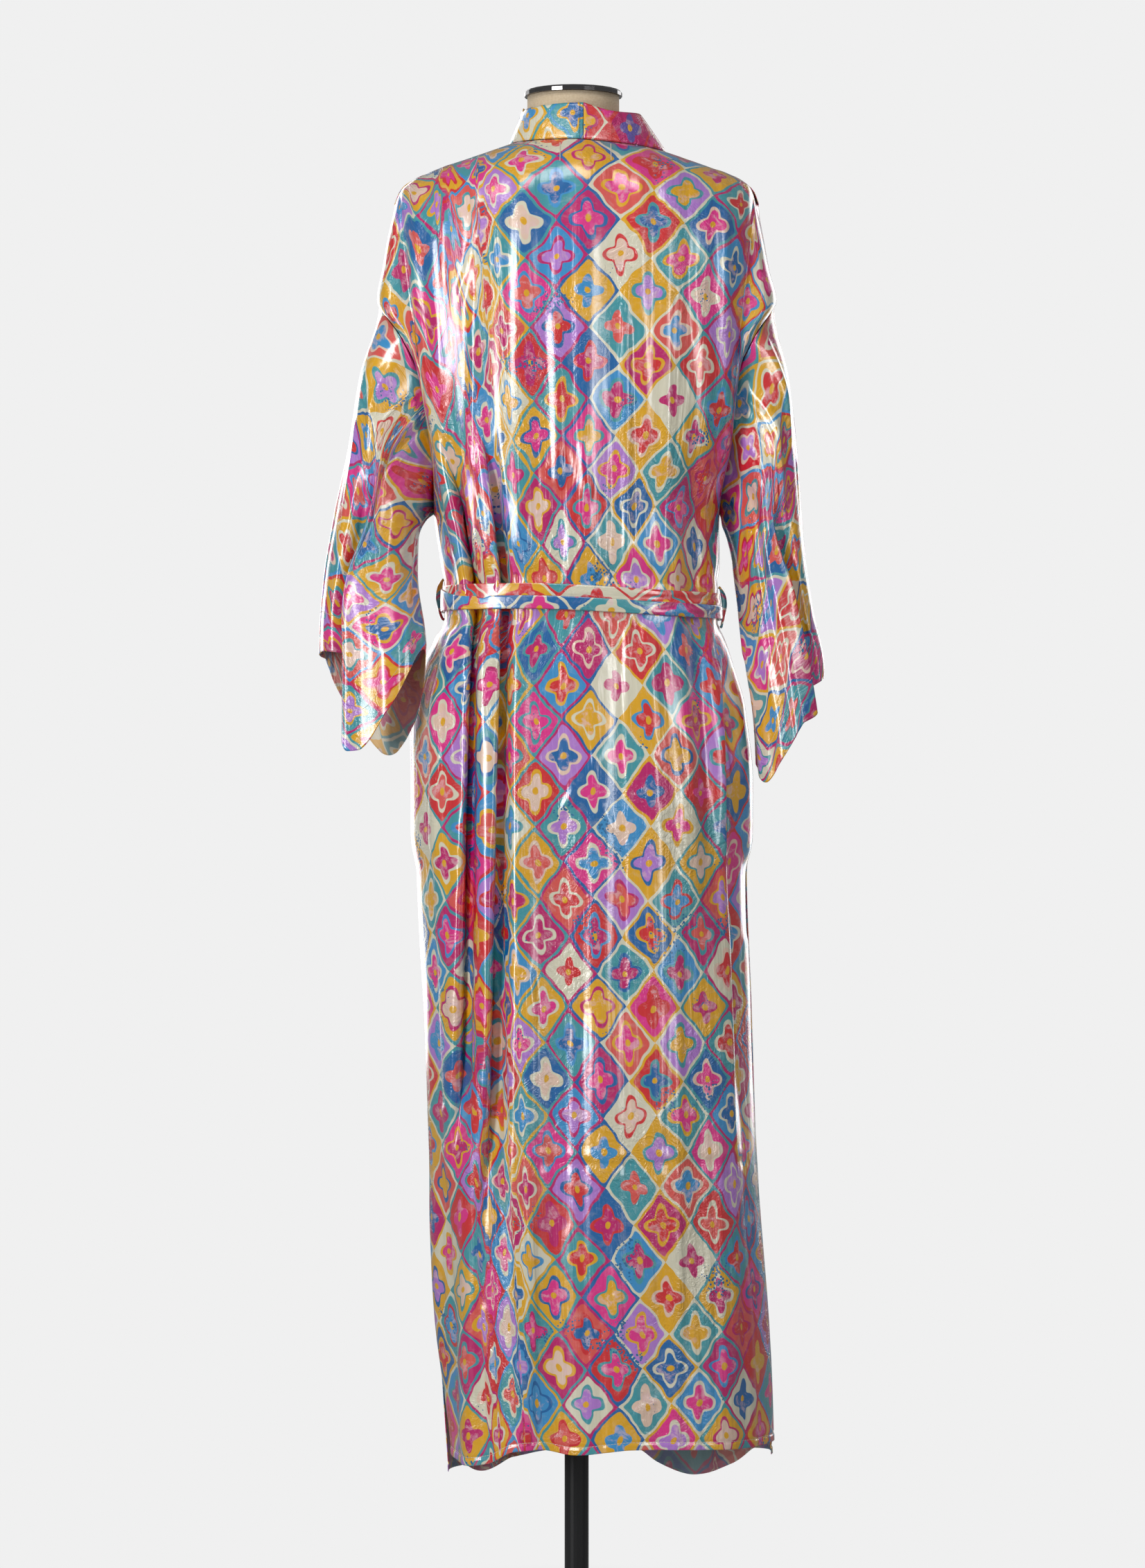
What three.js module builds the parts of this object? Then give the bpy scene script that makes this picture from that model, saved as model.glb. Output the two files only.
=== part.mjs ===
// Long kimono robe of printed satin, tied with its own belt, on a limbless dress form with a pole
// and a round base. Millimetres. The floor is z = 0 and the pole stands on the origin. The robe's
// back faces -Y, and the wearer's right is +X.
import * as THREE from 'three';

// Cloth
const WALL = 1.6;             // wall of a satin panel
const BAND_WALL = 2.4;        // wall of the collar band, which is doubled
const SEAM = 0.3;             // gap between sewn pieces
const ARM_GAP = 0.8;          // the same where a sleeve leaves its armhole at an angle
// How the right front lies under the left one: its depth, where it begins, how far it reaches past the
// left front's free edge, and the lengths over which it dips there
const UNDERLAP = { depth: 4, top: 1370, run: 34, ease: 24, rise: 60 };

// Heights
const SHOULDER_POINT = 1497;
const YOKE = 1400;            // below this the rows of the panels are level
const ARCH = 70;              // height over which the cloth rounds the shoulder
const ARM_TOP = 1383;         // top of the armhole seam, dropped down the arm
const UNDERARM = 1165;
const WAIST = 1076;           // middle of the belt at the left side
const HEM_TURN = 420;         // below this the rows follow the hem

// Collar band, belt, loops and pockets
const BAND_WIDTH = 48;
const BAND_RISE = 39;         // how far the band stands above the neck seam
const BAND_TOP = {            // its top edge: at the centre back, and where each half turns to the front
  centre: { y: -57, z: 1584 }, left: { x: -55.5, z: 1583, dip: 0 }, right: { x: 67, z: 1579, dip: 5 },
};
const BAND_TURN = { top: 1548, run: 110, inset: 20 };   // where the band turns over and lies down
const BELT_WIDTH = 26;
const BELT_WALL = 3;
const BELT_ROWS = 2;
const BELT_EASE = 0.6;        // gap between the belt and the robe
const BELT_DROP = 8;          // the belt's right side hangs lower by this
const CENTRE_BACK = 7;        // x of the centre back seam of the band
const LOOP = { height: 42, width: 6, thickness: 1.2, bulge: 6.6, straight: 8 };
const KNOT = { width: 40, height: 36, depth: 22, boxy: 0.8, sides: 16 };
const TAILS = [
  { name: 'belt_tail_left', topX: -11, footX: -34, length: 430, out: 0.8 },
  { name: 'belt_tail_right', topX: 12, footX: 26, length: 470, out: 0.8 },
];
const TAIL = { width: 21, wall: 2, rows: 12 };
const KNOT_TURNS = [-88, -60, -32, 0, 32, 60, 88];      // its rings from foot to top, in degrees
const SLIT = { top: 1000, bottom: 855, gape: 5 };
const POCKET = { top: 1000, bottom: 800, columns: 8, inset: 2.6, wall: 1 };

// Dress form
const NECK = { x: -3.5, radius: 48, top: 1598, root: 1554, flare: 4 };
const CAP = { radius: 50.8, top: 1604 };
const POLE_RADIUS = 12.5;
const SOCKET = { radius: 22, height: 50 };
const BASE = { radius: 165, edge: 6, rim: 6, height: 12 };
const EDGE = 2;               // bevel of the metal pieces
const FORM_EASE = 1.0;        // gap between the form's shoulders and the robe's inside
const FORM_SHOULDER = 180;    // half width of the form across its shoulders
const FORM_SCALE = 1.02;      // how much wider the robe's shoulder line is than the form's
const FORM_TURNS = 32;
const FORM_STEPS = [70, 93, 115, 137, 156, 172];        // half widths of the rings over its shoulders

// Shoulder line of the robe, as height over the distance from the middle
const RIDGE = [
  { x: 0, z: 1566 }, { x: 60, z: 1551 }, { x: 93, z: 1540 }, { x: 140, z: 1524 },
  { x: 170, z: 1512 }, { x: 180, z: 1505 }, { x: 184, z: 1499 }, { x: 189, z: 1485 },
];
const NECK_SEAM = [{ x: -70, z: 1548 }, { x: 7, z: 1545 }, { x: 93, z: 1540 }];

// Level sections of the robe: middle, half width, and depth behind and in front of the pole
const BODY = [
  { z: 1550, centre: 0, half: 186, back: 90, front: 78 },
  { z: 1497, centre: 0, half: 187, back: 98, front: 82 },
  { z: 1430, centre: 0, half: 178, back: 108, front: 96 },
  { z: 1340, centre: 1, half: 166, back: 113, front: 112 },
  { z: 1231, centre: 3, half: 156, back: 110, front: 118 },
  { z: 1165, centre: 0, half: 148, back: 104, front: 112 },
  { z: 1110, centre: 4, half: 144, back: 99, front: 105 },
  { z: 1092, centre: 5, half: 141, back: 96, front: 100 },
  { z: 1054, centre: 5, half: 141, back: 96, front: 100 },
  { z: 1036, centre: 3, half: 150, back: 99, front: 106 },
  { z: 1011, centre: 2, half: 159, back: 103, front: 113 },
  { z: 960, centre: 2.5, half: 171, back: 110, front: 122 },
  { z: 890, centre: 6, half: 175, back: 117, front: 128 },
  { z: 832, centre: 6, half: 175, back: 119, front: 128 },
  { z: 790, centre: 6.5, half: 170, back: 119, front: 126 },
  { z: 660, centre: 11.5, half: 169.5, back: 119, front: 124 },
  { z: 475, centre: 19, half: 168.5, back: 120, front: 124 },
  { z: 334, centre: 27, half: 171, back: 121, front: 125 },
  { z: 140, centre: 36, half: 167, back: 121, front: 126 },
];

// Side of the robe above the underarm, from the knee of the back through its bulge to the shoulder
// ridge or the armhole seam. x from the middle, y towards the back or the front alike
const SIDE = [
  { z: 1497, kneeX: 184, kneeY: 40, midX: 187, midY: 46, endX: 189, endY: 0 },
  { z: 1460, kneeX: 180, kneeY: 48, midX: 193, midY: 60, endX: 193, endY: 0 },
  { z: 1418, kneeX: 175, kneeY: 53, midX: 201, midY: 68, endX: 199, endY: 0 },
  { z: 1383, kneeX: 170, kneeY: 57, midX: 208, midY: 76, endX: 205, endY: 0 },
  { z: 1372, kneeX: 168.5, kneeY: 58, midX: 204, midY: 76, endX: 200, endY: 27 },
  { z: 1341, kneeX: 165, kneeY: 61, midX: 174, midY: 72, endX: 180, endY: 60 },
  { z: 1296, kneeX: 160, kneeY: 63, midX: 167, midY: 57, endX: 160, endY: 46 },
  { z: 1230, kneeX: 149, kneeY: 62, midX: 159, midY: 45, endX: 152, endY: 28 },
  { z: 1190, kneeX: 140, kneeY: 59, midX: 154, midY: 36, endX: 148, endY: 14 },
];

// Seam between a front and its band, as distance from the middle towards the wearer's other side
const FRONT_EDGE = [
  { z: 1550, left: -70, right: 93 }, { z: 1500, left: -68, right: 88 },
  { z: 1400, left: -60, right: 74 }, { z: 1300, left: -46, right: 56 },
  { z: 1200, left: -24, right: 34 }, { z: 1110, left: 0, right: 8 },
  { z: 1045, left: 12, right: -4 }, { z: 900, left: 22, right: -14 },
  { z: 140, left: 34, right: -8 },
];

// Hem heights of the panels over the width
const HEM_LEVEL = 190;
const HEM_BACK = [
  { x: -140, z: 193 }, { x: -118, z: 189 }, { x: -92, z: 193 }, { x: -62, z: 208 }, { x: -37, z: 210 },
  { x: -4, z: 205 }, { x: 60, z: 211 }, { x: 206, z: 206 },
];
const HEM_FRONT = [
  { x: -140, z: 170 }, { x: -112, z: 155 }, { x: -80, z: 168 }, { x: 20, z: 178 }, { x: 68, z: 176 },
  { x: 95, z: 161 }, { x: 134, z: 148 }, { x: 180, z: 164 }, { x: 206, z: 188 },
];

// Folds that hang from the belt, and softer ones: line from top to foot, depth in is negative
const FOLDS = [
  { face: 'back', topX: -140, topZ: 1250, footX: -127, footZ: 560, belt: -111, deep: -15, wide: 15 },
  { face: 'back', topX: -98, topZ: 1255, footX: -96, footZ: 480, belt: -80, deep: -16, wide: 15 },
  { face: 'back', topX: -120, topZ: 1230, footX: -112, footZ: 240, belt: -96, deep: 6, wide: 13 },
  { face: 'back', topX: -60, topZ: 1200, footX: -66, footZ: 160, belt: -58, deep: 5, wide: 18 },
  { face: 'back', topX: 118, topZ: 1240, footX: 150, footZ: 700, belt: 118, deep: -7, wide: 16 },
  { face: 'back', topX: 60, topZ: 1180, footX: 96, footZ: 300, belt: 66, deep: 4, wide: 22 },
  { face: 'back', topX: -20, topZ: 900, footX: -6, footZ: 160, belt: -20, deep: -5, wide: 24 },
  { face: 'back', topX: 20, topZ: 700, footX: 52, footZ: 160, belt: 20, deep: 5, wide: 24 },
  { face: 'front', topX: -122, topZ: 1240, footX: -128, footZ: 420, belt: -108, deep: -13, wide: 16 },
  { face: 'front', topX: -96, topZ: 1190, footX: -100, footZ: 160, belt: -84, deep: 5, wide: 16 },
  { face: 'front', topX: 124, topZ: 1240, footX: 160, footZ: 420, belt: 114, deep: -13, wide: 16 },
  { face: 'front', topX: 100, topZ: 1190, footX: 136, footZ: 160, belt: 90, deep: 5, wide: 16 },
];

// Level sections of each sleeve, x outwards: outer ridge, inner edge, and swell to back and front
const SLEEVES = {
  left: [
    { z: 1383, outX: 207, outY: 0, inX: 172, inY: 0, back: 62, front: 60 },
    { z: 1296, outX: 226, outY: 0, inX: 164, inY: -2, back: 66, front: 62 },
    { z: 1231, outX: 236, outY: -2, inX: 160, inY: -5, back: 66, front: 60 },
    { z: 1162, outX: 250, outY: -4, inX: 162, inY: -12, back: 62, front: 54 },
    { z: 1093, outX: 258, outY: -8, inX: 164, inY: -36, back: 54, front: 42 },
    { z: 1022, outX: 260, outY: -14, inX: 156, inY: -82, back: 42, front: 28 },
    { z: 900, outX: 260, outY: -18, inX: 158, inY: -94, back: 38, front: 26 },
  ],
  right: [
    { z: 1383, outX: 203, outY: 0, inX: 172, inY: 0, back: 60, front: 60 },
    { z: 1322, outX: 217, outY: 0, inX: 167, inY: -2, back: 64, front: 62 },
    { z: 1248, outX: 227, outY: -2, inX: 165, inY: -4, back: 66, front: 60 },
    { z: 1138, outX: 234, outY: -4, inX: 164, inY: -12, back: 62, front: 52 },
    { z: 1065, outX: 241, outY: -6, inX: 171, inY: -24, back: 56, front: 44 },
    { z: 1007, outX: 251, outY: -8, inX: 177, inY: -38, back: 50, front: 36 },
    { z: 940, outX: 248, outY: -10, inX: 188, inY: -50, back: 44, front: 32 },
    { z: 870, outX: 243, outY: -10, inX: 193, inY: -54, back: 42, front: 30 },
  ],
};

// Hem of each sleeve over the turn round it: 0 at the outer ridge, 90 at the back, 180 inside
const SLEEVE_HEMS = {
  left: [
    { turn: 0, z: 1014 }, { turn: 45, z: 1021 }, { turn: 84, z: 1016 }, { turn: 98, z: 918 },
    { turn: 130, z: 958 }, { turn: 180, z: 1022 }, { turn: 225, z: 962 }, { turn: 270, z: 914 },
    { turn: 315, z: 960 }, { turn: 360, z: 1014 },
  ],
  right: [
    { turn: 0, z: 1007 }, { turn: 40, z: 996 }, { turn: 80, z: 981 }, { turn: 110, z: 945 },
    { turn: 150, z: 905 }, { turn: 175, z: 886 }, { turn: 215, z: 905 }, { turn: 270, z: 926 },
    { turn: 320, z: 966 }, { turn: 360, z: 1007 },
  ],
};
const SLEEVE_GROOVE = {
  left: { turn: 88, wide: 17, deep: -17, from: 0.3 }, right: { turn: 92, wide: 17, deep: -15, from: 0.35 },
};
const SLEEVE_SWING = 0.2;     // share of a sleeve's length over which it leaves the armhole seam

// Shape of the rounded sections, and the lengths over which the folds begin, end and widen
const CROWN = { curve: 2.4, flat: 0.62 };
const FORM_CROWN = { curve: 2.2, flat: 0.5 };
const FOLD_EASE = { top: 90, foot: 160, hem: 300, belt: 18, lift: 60, spread: 0.5, spreadRun: 500 };

// Level sections of the dress form below its shoulders
const FORM = [
  { z: 1560, half: 178, back: 66, front: 58 }, { z: 1488, half: 177, back: 84, front: 70 },
  { z: 1440, half: 166, back: 92, front: 82 },
  { z: 1370, half: 154, back: 100, front: 98 }, { z: 1290, half: 144, back: 97, front: 108 },
  { z: 1210, half: 130, back: 90, front: 98 }, { z: 1140, half: 120, back: 82, front: 84 },
  { z: 1076, half: 118, back: 74, front: 78 }, { z: 990, half: 136, back: 80, front: 88 },
  { z: 900, half: 144, back: 86, front: 92 }, { z: 800, half: 138, back: 84, front: 88 },
];

// Rows and columns of the walls
const YOKE_ROWS = 7;
const LEVELS = [
  1383, 1362, 1341, 1318, 1292, 1252, 1208, 1165, 1132, 1110, 1092, 1054, 1036, 1000, 955, 905, 855, 800,
  730, 650, 560, 470, 380, 290, 205,
];
const BACK_COLUMNS = [
  -1, -0.93, -0.86, -0.8, -0.745, -0.69, -0.635, -0.58, -0.52, -0.46, -0.4, -0.32, -0.22, -0.12, 0,
  0.12, 0.24, 0.36, 0.47, 0.57, 0.66, 0.74, 0.82, 0.91, 1,
];
const SIDE_STEPS = 4;
const FRONT_COLUMNS = 12;
const SLEEVE_ROWS = 10;
const NECK_STEPS = 7;

const satin = (colour) => new THREE.MeshStandardMaterial({ color: colour, roughness: 0.3, metalness: 0 });
const MATERIALS = {
  body: satin('#d9578f'), front: satin('#4fa6b4'), sleeve: satin('#e6b52e'),
  band: satin('#d8434c'), belt: satin('#2f86bd'), pocket: satin('#c69add'),
  linen: new THREE.MeshStandardMaterial({ color: '#d9c4a4', roughness: 0.95, metalness: 0 }),
  chrome: new THREE.MeshStandardMaterial({ color: '#d8d8da', roughness: 0.12, metalness: 1 }),
  black: new THREE.MeshStandardMaterial({ color: '#17181a', roughness: 0.4, metalness: 0.4 }),
};

const mix = (a, b, t) => a + (b - a) * t;
const clamp = (t) => Math.min(1, Math.max(0, t));
const smooth = (t) => clamp(t) ** 2 * (3 - 2 * clamp(t));
const bell = (t) => (Math.abs(t) >= 1 ? 0 : (1 - t * t) ** 2);

// A table's column at a place along its key, by a cubic that keeps between neighbouring rows
function read(table, key, at, column) {
  const last = table.length - 1;
  const chord = (i) => (table[i + 1][column] - table[i][column]) / (table[i + 1][key] - table[i][key]);
  const slope = (i) => {
    if (i === 0) return chord(0);
    if (i === last) return chord(last - 1);
    const [before, after] = [chord(i - 1), chord(i)];
    return before * after <= 0 ? 0 : (2 * before * after) / (before + after);
  };
  const rising = table[last][key] > table[0][key];
  let i = 0;
  while (i < last - 1 && (rising ? at > table[i + 1][key] : at < table[i + 1][key])) i += 1;
  const span = table[i + 1][key] - table[i][key];
  const t = clamp((at - table[i][key]) / span);
  const [a, b] = [table[i][column], table[i + 1][column]];
  const h = t * t * (3 - 2 * t);
  return a + (b - a) * h + span * t * (1 - t) * ((1 - t) * slope(i) - t * slope(i + 1));
}

// Closed wall between a grid of outer points and the same grid moved in along its normals.
// A round wall joins its last column to its first. Settle turns the normals at a seam, so that
// both walls that meet there have the same ones. An inset moves the whole wall in
function wall(grid, thickness, { round = false, settle = () => {}, flip = false, inset = 0 } = {}) {
  const rows = grid.length;
  const columns = grid[0].length;
  const pick = (i, j) => {
    const column = round ? (j + columns) % columns : Math.min(columns - 1, Math.max(0, j));
    return grid[Math.min(rows - 1, Math.max(0, i))][column];
  };
  const outer = [];
  const inner = [];
  for (let i = 0; i < rows; i += 1) {
    for (let j = 0; j < columns; j += 1) {
      const across = pick(i, j + 1).clone().sub(pick(i, j - 1));
      const down = pick(i + 1, j).clone().sub(pick(i - 1, j));
      const normal = down.cross(across).normalize();
      if (flip) normal.negate();
      settle(normal, i, j);
      outer.push(grid[i][j].clone().addScaledVector(normal, -inset));
      inner.push(grid[i][j].clone().addScaledVector(normal, -inset - thickness));
    }
  }
  const points = [...outer, ...inner];
  const shift = outer.length;
  const index = [];
  const quad = (a, b, c, d) => (flip ? index.push(a, c, b, a, d, c) : index.push(a, b, c, a, c, d));
  const at = (i, j) => i * columns + (round ? j % columns : j);
  const spans = round ? columns : columns - 1;
  for (let i = 0; i < rows - 1; i += 1) {
    for (let j = 0; j < spans; j += 1) {
      const [a, b, c, d] = [at(i, j), at(i + 1, j), at(i + 1, j + 1), at(i, j + 1)];
      quad(a, b, c, d);
      quad(a + shift, d + shift, c + shift, b + shift);
    }
  }
  for (let j = 0; j < spans; j += 1) {
    quad(at(0, j), at(0, j + 1), at(0, j + 1) + shift, at(0, j) + shift);
    const foot = rows - 1;
    quad(at(foot, j + 1), at(foot, j), at(foot, j) + shift, at(foot, j + 1) + shift);
  }
  for (let i = 0; i < rows - 1 && !round; i += 1) {
    quad(at(i + 1, 0), at(i, 0), at(i, 0) + shift, at(i + 1, 0) + shift);
    const end = columns - 1;
    quad(at(i, end), at(i + 1, end), at(i + 1, end) + shift, at(i, end) + shift);
  }
  const geometry = new THREE.BufferGeometry();
  geometry.setAttribute('position', new THREE.Float32BufferAttribute(points.flatMap((p) => p.toArray()), 3));
  geometry.setIndex(index);
  geometry.computeVertexNormals();
  return geometry;
}

function mesh(name, geometry, material) {
  const piece = new THREE.Mesh(geometry, material);
  piece.name = name;
  return piece;
}

// Base surface of the robe
const ridge = (x) => read(RIDGE, 'x', Math.abs(x), 'z');
const arch = (drop) => Math.sqrt(1 - (1 - clamp(drop / ARCH)) ** 2);

function lowerSide(z, face) {
  const half = read(BODY, 'z', z, 'half');
  const deep = read(BODY, 'z', z, face);
  return {
    z, kneeX: half * 0.905, kneeY: deep * 0.55, midX: half * 1.03, midY: deep * 0.27, endX: half, endY: 0,
  };
}

function sideAt(z, face) {
  if (z <= UNDERARM) return lowerSide(z, face);
  const table = [...SIDE, lowerSide(UNDERARM, face)];
  const column = (name) => read(table, 'z', z, name);
  return {
    kneeX: column('kneeX'), kneeY: column('kneeY'), midX: column('midX'), midY: column('midY'),
    endX: column('endX'), endY: column('endY'),
  };
}

// Depth of the folds at a point, faded under the belt where a ridge would lift it
function foldDepth(x, z, face) {
  let depth = 0;
  for (const fold of FOLDS) {
    if (fold.face !== face) continue;
    const line = z > WAIST
      ? mix(fold.belt, fold.topX, clamp((z - WAIST) / Math.max(1, fold.topZ - WAIST)))
      : mix(fold.belt, fold.footX, clamp((WAIST - z) / (WAIST - fold.footZ)));
    const toHem = fold.footZ < FOLD_EASE.hem ? 1 : 0;
    const life = smooth((fold.topZ - z) / FOLD_EASE.top) * smooth((z - fold.footZ) / FOLD_EASE.foot + toHem);
    const fromBelt = Math.abs(z - WAIST + BELT_DROP / 2) - FOLD_EASE.belt;
    const lift = fold.deep > 0 ? smooth(fromBelt / FOLD_EASE.lift) : 1;
    const spread = 1 + FOLD_EASE.spread * smooth((WAIST - z) / FOLD_EASE.spreadRun);
    depth += fold.deep * life * lift * bell((x - line) / (fold.wide * spread));
  }
  return depth;
}

// Half of the gap of the pocket slits in the side seams
function slitGape(z) {
  const t = (z - SLIT.bottom) / (SLIT.top - SLIT.bottom);
  return t > 0 && t < 1 ? (SLIT.gape / 2) * Math.sin(Math.PI * t) : 0;
}

// A point of the robe: u is -1 to 1 between the knees and runs on to 2 at the end of the side
function bodyPoint(u, z, face, out = 0, folded = true) {
  const way = face === 'back' ? -1 : 1;
  const hand = u < 0 ? -1 : 1;
  const side = sideAt(z, face);
  const centre = read(BODY, 'z', z, 'centre');
  const deep = read(BODY, 'z', z, face);
  const round = arch(ridge(side.kneeX * Math.min(1, Math.abs(u))) - z);
  const section = (v) => {
    const t = Math.abs(v) - 1;
    if (t <= 0) {
      const crown = (1 - Math.abs(v) ** CROWN.curve) ** CROWN.flat;
      return [centre + side.kneeX * v, way * round * mix(side.kneeY, deep, crown)];
    }
    const [a, b, c] = [(1 - t) ** 2, 2 * t * (1 - t), t * t];
    return [
      centre + hand * (a * side.kneeX + b * side.midX + c * side.endX),
      way * round * (a * side.kneeY + b * side.midY + c * side.endY),
    ];
  };
  const [x, y] = section(u);
  const step = 0.01;
  const [bx, by] = section(Math.max(-2, u - step));
  const [ex, ey] = section(Math.min(2, u + step));
  const length = Math.hypot(ex - bx, ey - by) || 1;
  const move = out + (folded ? foldDepth(x, z, face) : 0);
  const nx = (ey - by) / length;
  const ny = -(ex - bx) / length;
  const part = SEAM / 2 + slitGape(z) * clamp(Math.abs(u) - 1) ** 2;
  return new THREE.Vector3(x - way * nx * move, y - way * ny * move + way * part, z);
}

const hemAt = (x, face) => read(face === 'back' ? HEM_BACK : HEM_FRONT, 'x', x, 'z');

// Height of a row: the yoke rows round the shoulder, then level rows, then rows that follow the hem
function rowHeight(row, topZ, x, face) {
  if (row < YOKE_ROWS) return mix(topZ, YOKE, 1 - Math.cos((row / YOKE_ROWS) * Math.PI / 2));
  const level = LEVELS[row - YOKE_ROWS];
  if (level >= HEM_TURN) return level;
  const foot = LEVELS[LEVELS.length - 1];
  return mix(hemAt(x, face), HEM_TURN, (level - foot) / (HEM_TURN - foot));
}
const ROWS = YOKE_ROWS + LEVELS.length;

// The back, from one side seam to the other
function backPanel() {
  const sideColumns = Array.from({ length: SIDE_STEPS }, (_, i) => 2 - i / SIDE_STEPS);
  const columns = [...sideColumns.map((u) => -u), ...BACK_COLUMNS, ...sideColumns.reverse()];
  const grid = [];
  for (let row = 0; row < ROWS; row += 1) {
    grid.push(columns.map((u) => {
      const topX = SIDE[0].kneeX * Math.max(-1, Math.min(1, u));
      const inNeck = topX > NECK_SEAM[0].x && topX < NECK_SEAM[2].x;
      const topZ = inNeck ? read(NECK_SEAM, 'x', topX, 'z') : ridge(topX);
      const guess = bodyPoint(u, rowHeight(row, topZ, 0, 'back'), 'back');
      return bodyPoint(u, rowHeight(row, topZ, guess.x, 'back'), 'back');
    }));
  }
  const settle = (normal, i, j) => {
    const shoulder = i === 0 && Math.abs(grid[i][j].y) < 2;
    if (shoulder || (Math.abs(columns[j]) === 2 && onSideSeam(grid[i][j]))) normal.setY(0).normalize();
  };
  return { grid, geometry: wall(grid, WALL, { settle }) };
}

// The back and the fronts meet at the ridge above the armhole and at the side seam below it
const onSideSeam = (point) => point.z > ARM_TOP || point.z <= UNDERARM;

// A front, from its side seam to the seam of the band. The right front passes under the left
function frontEdge(hand, z) {
  return read(FRONT_EDGE, 'z', z, hand < 0 ? 'left' : 'right');
}

function underlap(hand, x, z) {
  if (hand < 0) return 0;
  const overLeft = frontEdge(-1, z) + BAND_WIDTH;
  const under = smooth((overLeft + UNDERLAP.run - x) / UNDERLAP.ease);
  return -UNDERLAP.depth * under * smooth((UNDERLAP.top - z) / UNDERLAP.rise);
}

function frontPoint(hand, x, z, out = 0) {
  const centre = read(BODY, 'z', z, 'centre');
  const u = (x - centre) / sideAt(z, 'front').kneeX;
  return bodyPoint(u, z, 'front', out + underlap(hand, x, z));
}

function frontPanel(hand) {
  const sideColumns = Array.from({ length: SIDE_STEPS }, (_, i) => 2 - i / SIDE_STEPS);
  const grid = [];
  const topEdge = frontEdge(hand, FRONT_EDGE[0].z) / SIDE[0].kneeX;
  const low = (column) => read(BODY, 'z', HEM_LEVEL, column);
  const hemSide = low('centre') + hand * low('half');
  const columns = sideColumns.map((u) => hand * u);
  for (let c = 0; c <= FRONT_COLUMNS; c += 1) columns.push(c / FRONT_COLUMNS);
  for (let row = 0; row < ROWS; row += 1) {
    grid.push(columns.map((column, j) => {
      if (j < SIDE_STEPS) {
        const z = rowHeight(row, SHOULDER_POINT, hemSide, 'front');
        return bodyPoint(column, z, 'front');
      }
      const topU = mix(hand, topEdge, column);
      const topX = SIDE[0].kneeX * topU;
      const z = rowHeight(row, ridge(topX), mix(hemSide, frontEdge(hand, HEM_LEVEL), column), 'front');
      const centre = read(BODY, 'z', z, 'centre');
      const edge = frontEdge(hand, z);
      const x = mix(centre + hand * sideAt(z, 'front').kneeX, edge, column);
      return frontPoint(hand, x, z);
    }));
  }
  const settle = (normal, i, j) => {
    if (i === 0 || (j === 0 && onSideSeam(grid[i][j]))) normal.setY(0).normalize();
  };
  return { grid, geometry: wall(grid, WALL, { flip: hand < 0, settle }) };
}

// Half of the collar band, from the centre back round the neck and down the front edge
function collarBand(hand, front) {
  const grid = [];
  const end = hand < 0 ? NECK_SEAM[0] : NECK_SEAM[2];
  const turn = hand < 0 ? BAND_TOP.left : BAND_TOP.right;
  const start = CENTRE_BACK + hand * SEAM / 2;
  for (let step = 0; step < NECK_STEPS; step += 1) {
    const t = Math.sin((step / NECK_STEPS) * Math.PI / 2);
    const x = mix(start, end.x, t);
    const foot = bodyPoint(x / SIDE[0].kneeX, read(NECK_SEAM, 'x', x, 'z'), 'back');
    foot.z += 3 * SEAM;
    const topY = BAND_TOP.centre.y * Math.sqrt(Math.max(0, 1 - t * t));
    const topZ = mix(BAND_TOP.centre.z, turn.z, t) - turn.dip * Math.sin(Math.PI * t);
    const top = new THREE.Vector3(mix(start, turn.x, t), topY, topZ);
    grid.push([foot, foot.clone().lerp(top, 0.5), top]);
  }
  for (let row = 0; row < ROWS; row += 1) {
    const seam = front.grid[row][front.grid[row].length - 1];
    const inward = -hand;
    const lying = frontPoint(hand, seam.x + inward * BAND_WIDTH, seam.z);
    const half = frontPoint(hand, seam.x + inward * BAND_WIDTH / 2, seam.z);
    const foot = frontPoint(hand, frontEdge(hand, seam.z) + inward * 2 * SEAM, seam.z);
    const stand = smooth((BAND_TURN.top - seam.z) / BAND_TURN.run);
    const neckX = mix(turn.x, seam.x + inward * BAND_TURN.inset, stand);
    const top = new THREE.Vector3(neckX, seam.y, seam.z + BAND_RISE * (1 - stand)).lerp(lying, stand);
    const middle = foot.clone().lerp(top, 0.5).lerp(half, stand);
    if (row === 0) foot.z += SEAM;
    grid.push([foot, middle, top]);
  }
  const settle = (normal, i) => {
    if (i === 0) normal.setX(0).normalize();
  };
  return wall(grid, BAND_WALL, { flip: hand < 0, settle });
}

// The armhole seam as a ring over the ends of the rows of a front and the back, with the middles
// between them. It starts at the top and runs down the back. The turn is the angle round the sleeve
function armhole(hand, front) {
  const first = YOKE_ROWS + LEVELS.indexOf(ARM_TOP);
  const last = YOKE_ROWS + LEVELS.indexOf(UNDERARM);
  const ends = (grid, column) => grid.slice(first, last + 1).map((row) => row[column]);
  const behind = ends(back.grid, hand < 0 ? 0 : back.grid[0].length - 1);
  const ahead = ends(front.grid, 0);
  const ring = [];
  const add = (a, b, turnBack) => {
    const point = a.clone().lerp(b, 0.5);
    const height = (point.z - (ARM_TOP + UNDERARM) / 2) / ((ARM_TOP - UNDERARM) / 2);
    const turn = Math.acos(Math.max(-1, Math.min(1, height)));
    ring.push({ point, turn: turnBack ? turn : 2 * Math.PI - turn });
  };
  add(behind[0], ahead[0], true);
  for (let i = 1; i < behind.length; i += 1) {
    add(behind[i - 1], behind[i], true);
    add(behind[i], i === behind.length - 1 ? ahead[i] : behind[i], true);
  }
  for (let i = ahead.length - 1; i > 0; i -= 1) {
    add(ahead[i], ahead[i - 1], false);
    if (i > 1) add(ahead[i - 1], ahead[i - 1], false);
  }
  return ring;
}

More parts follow.
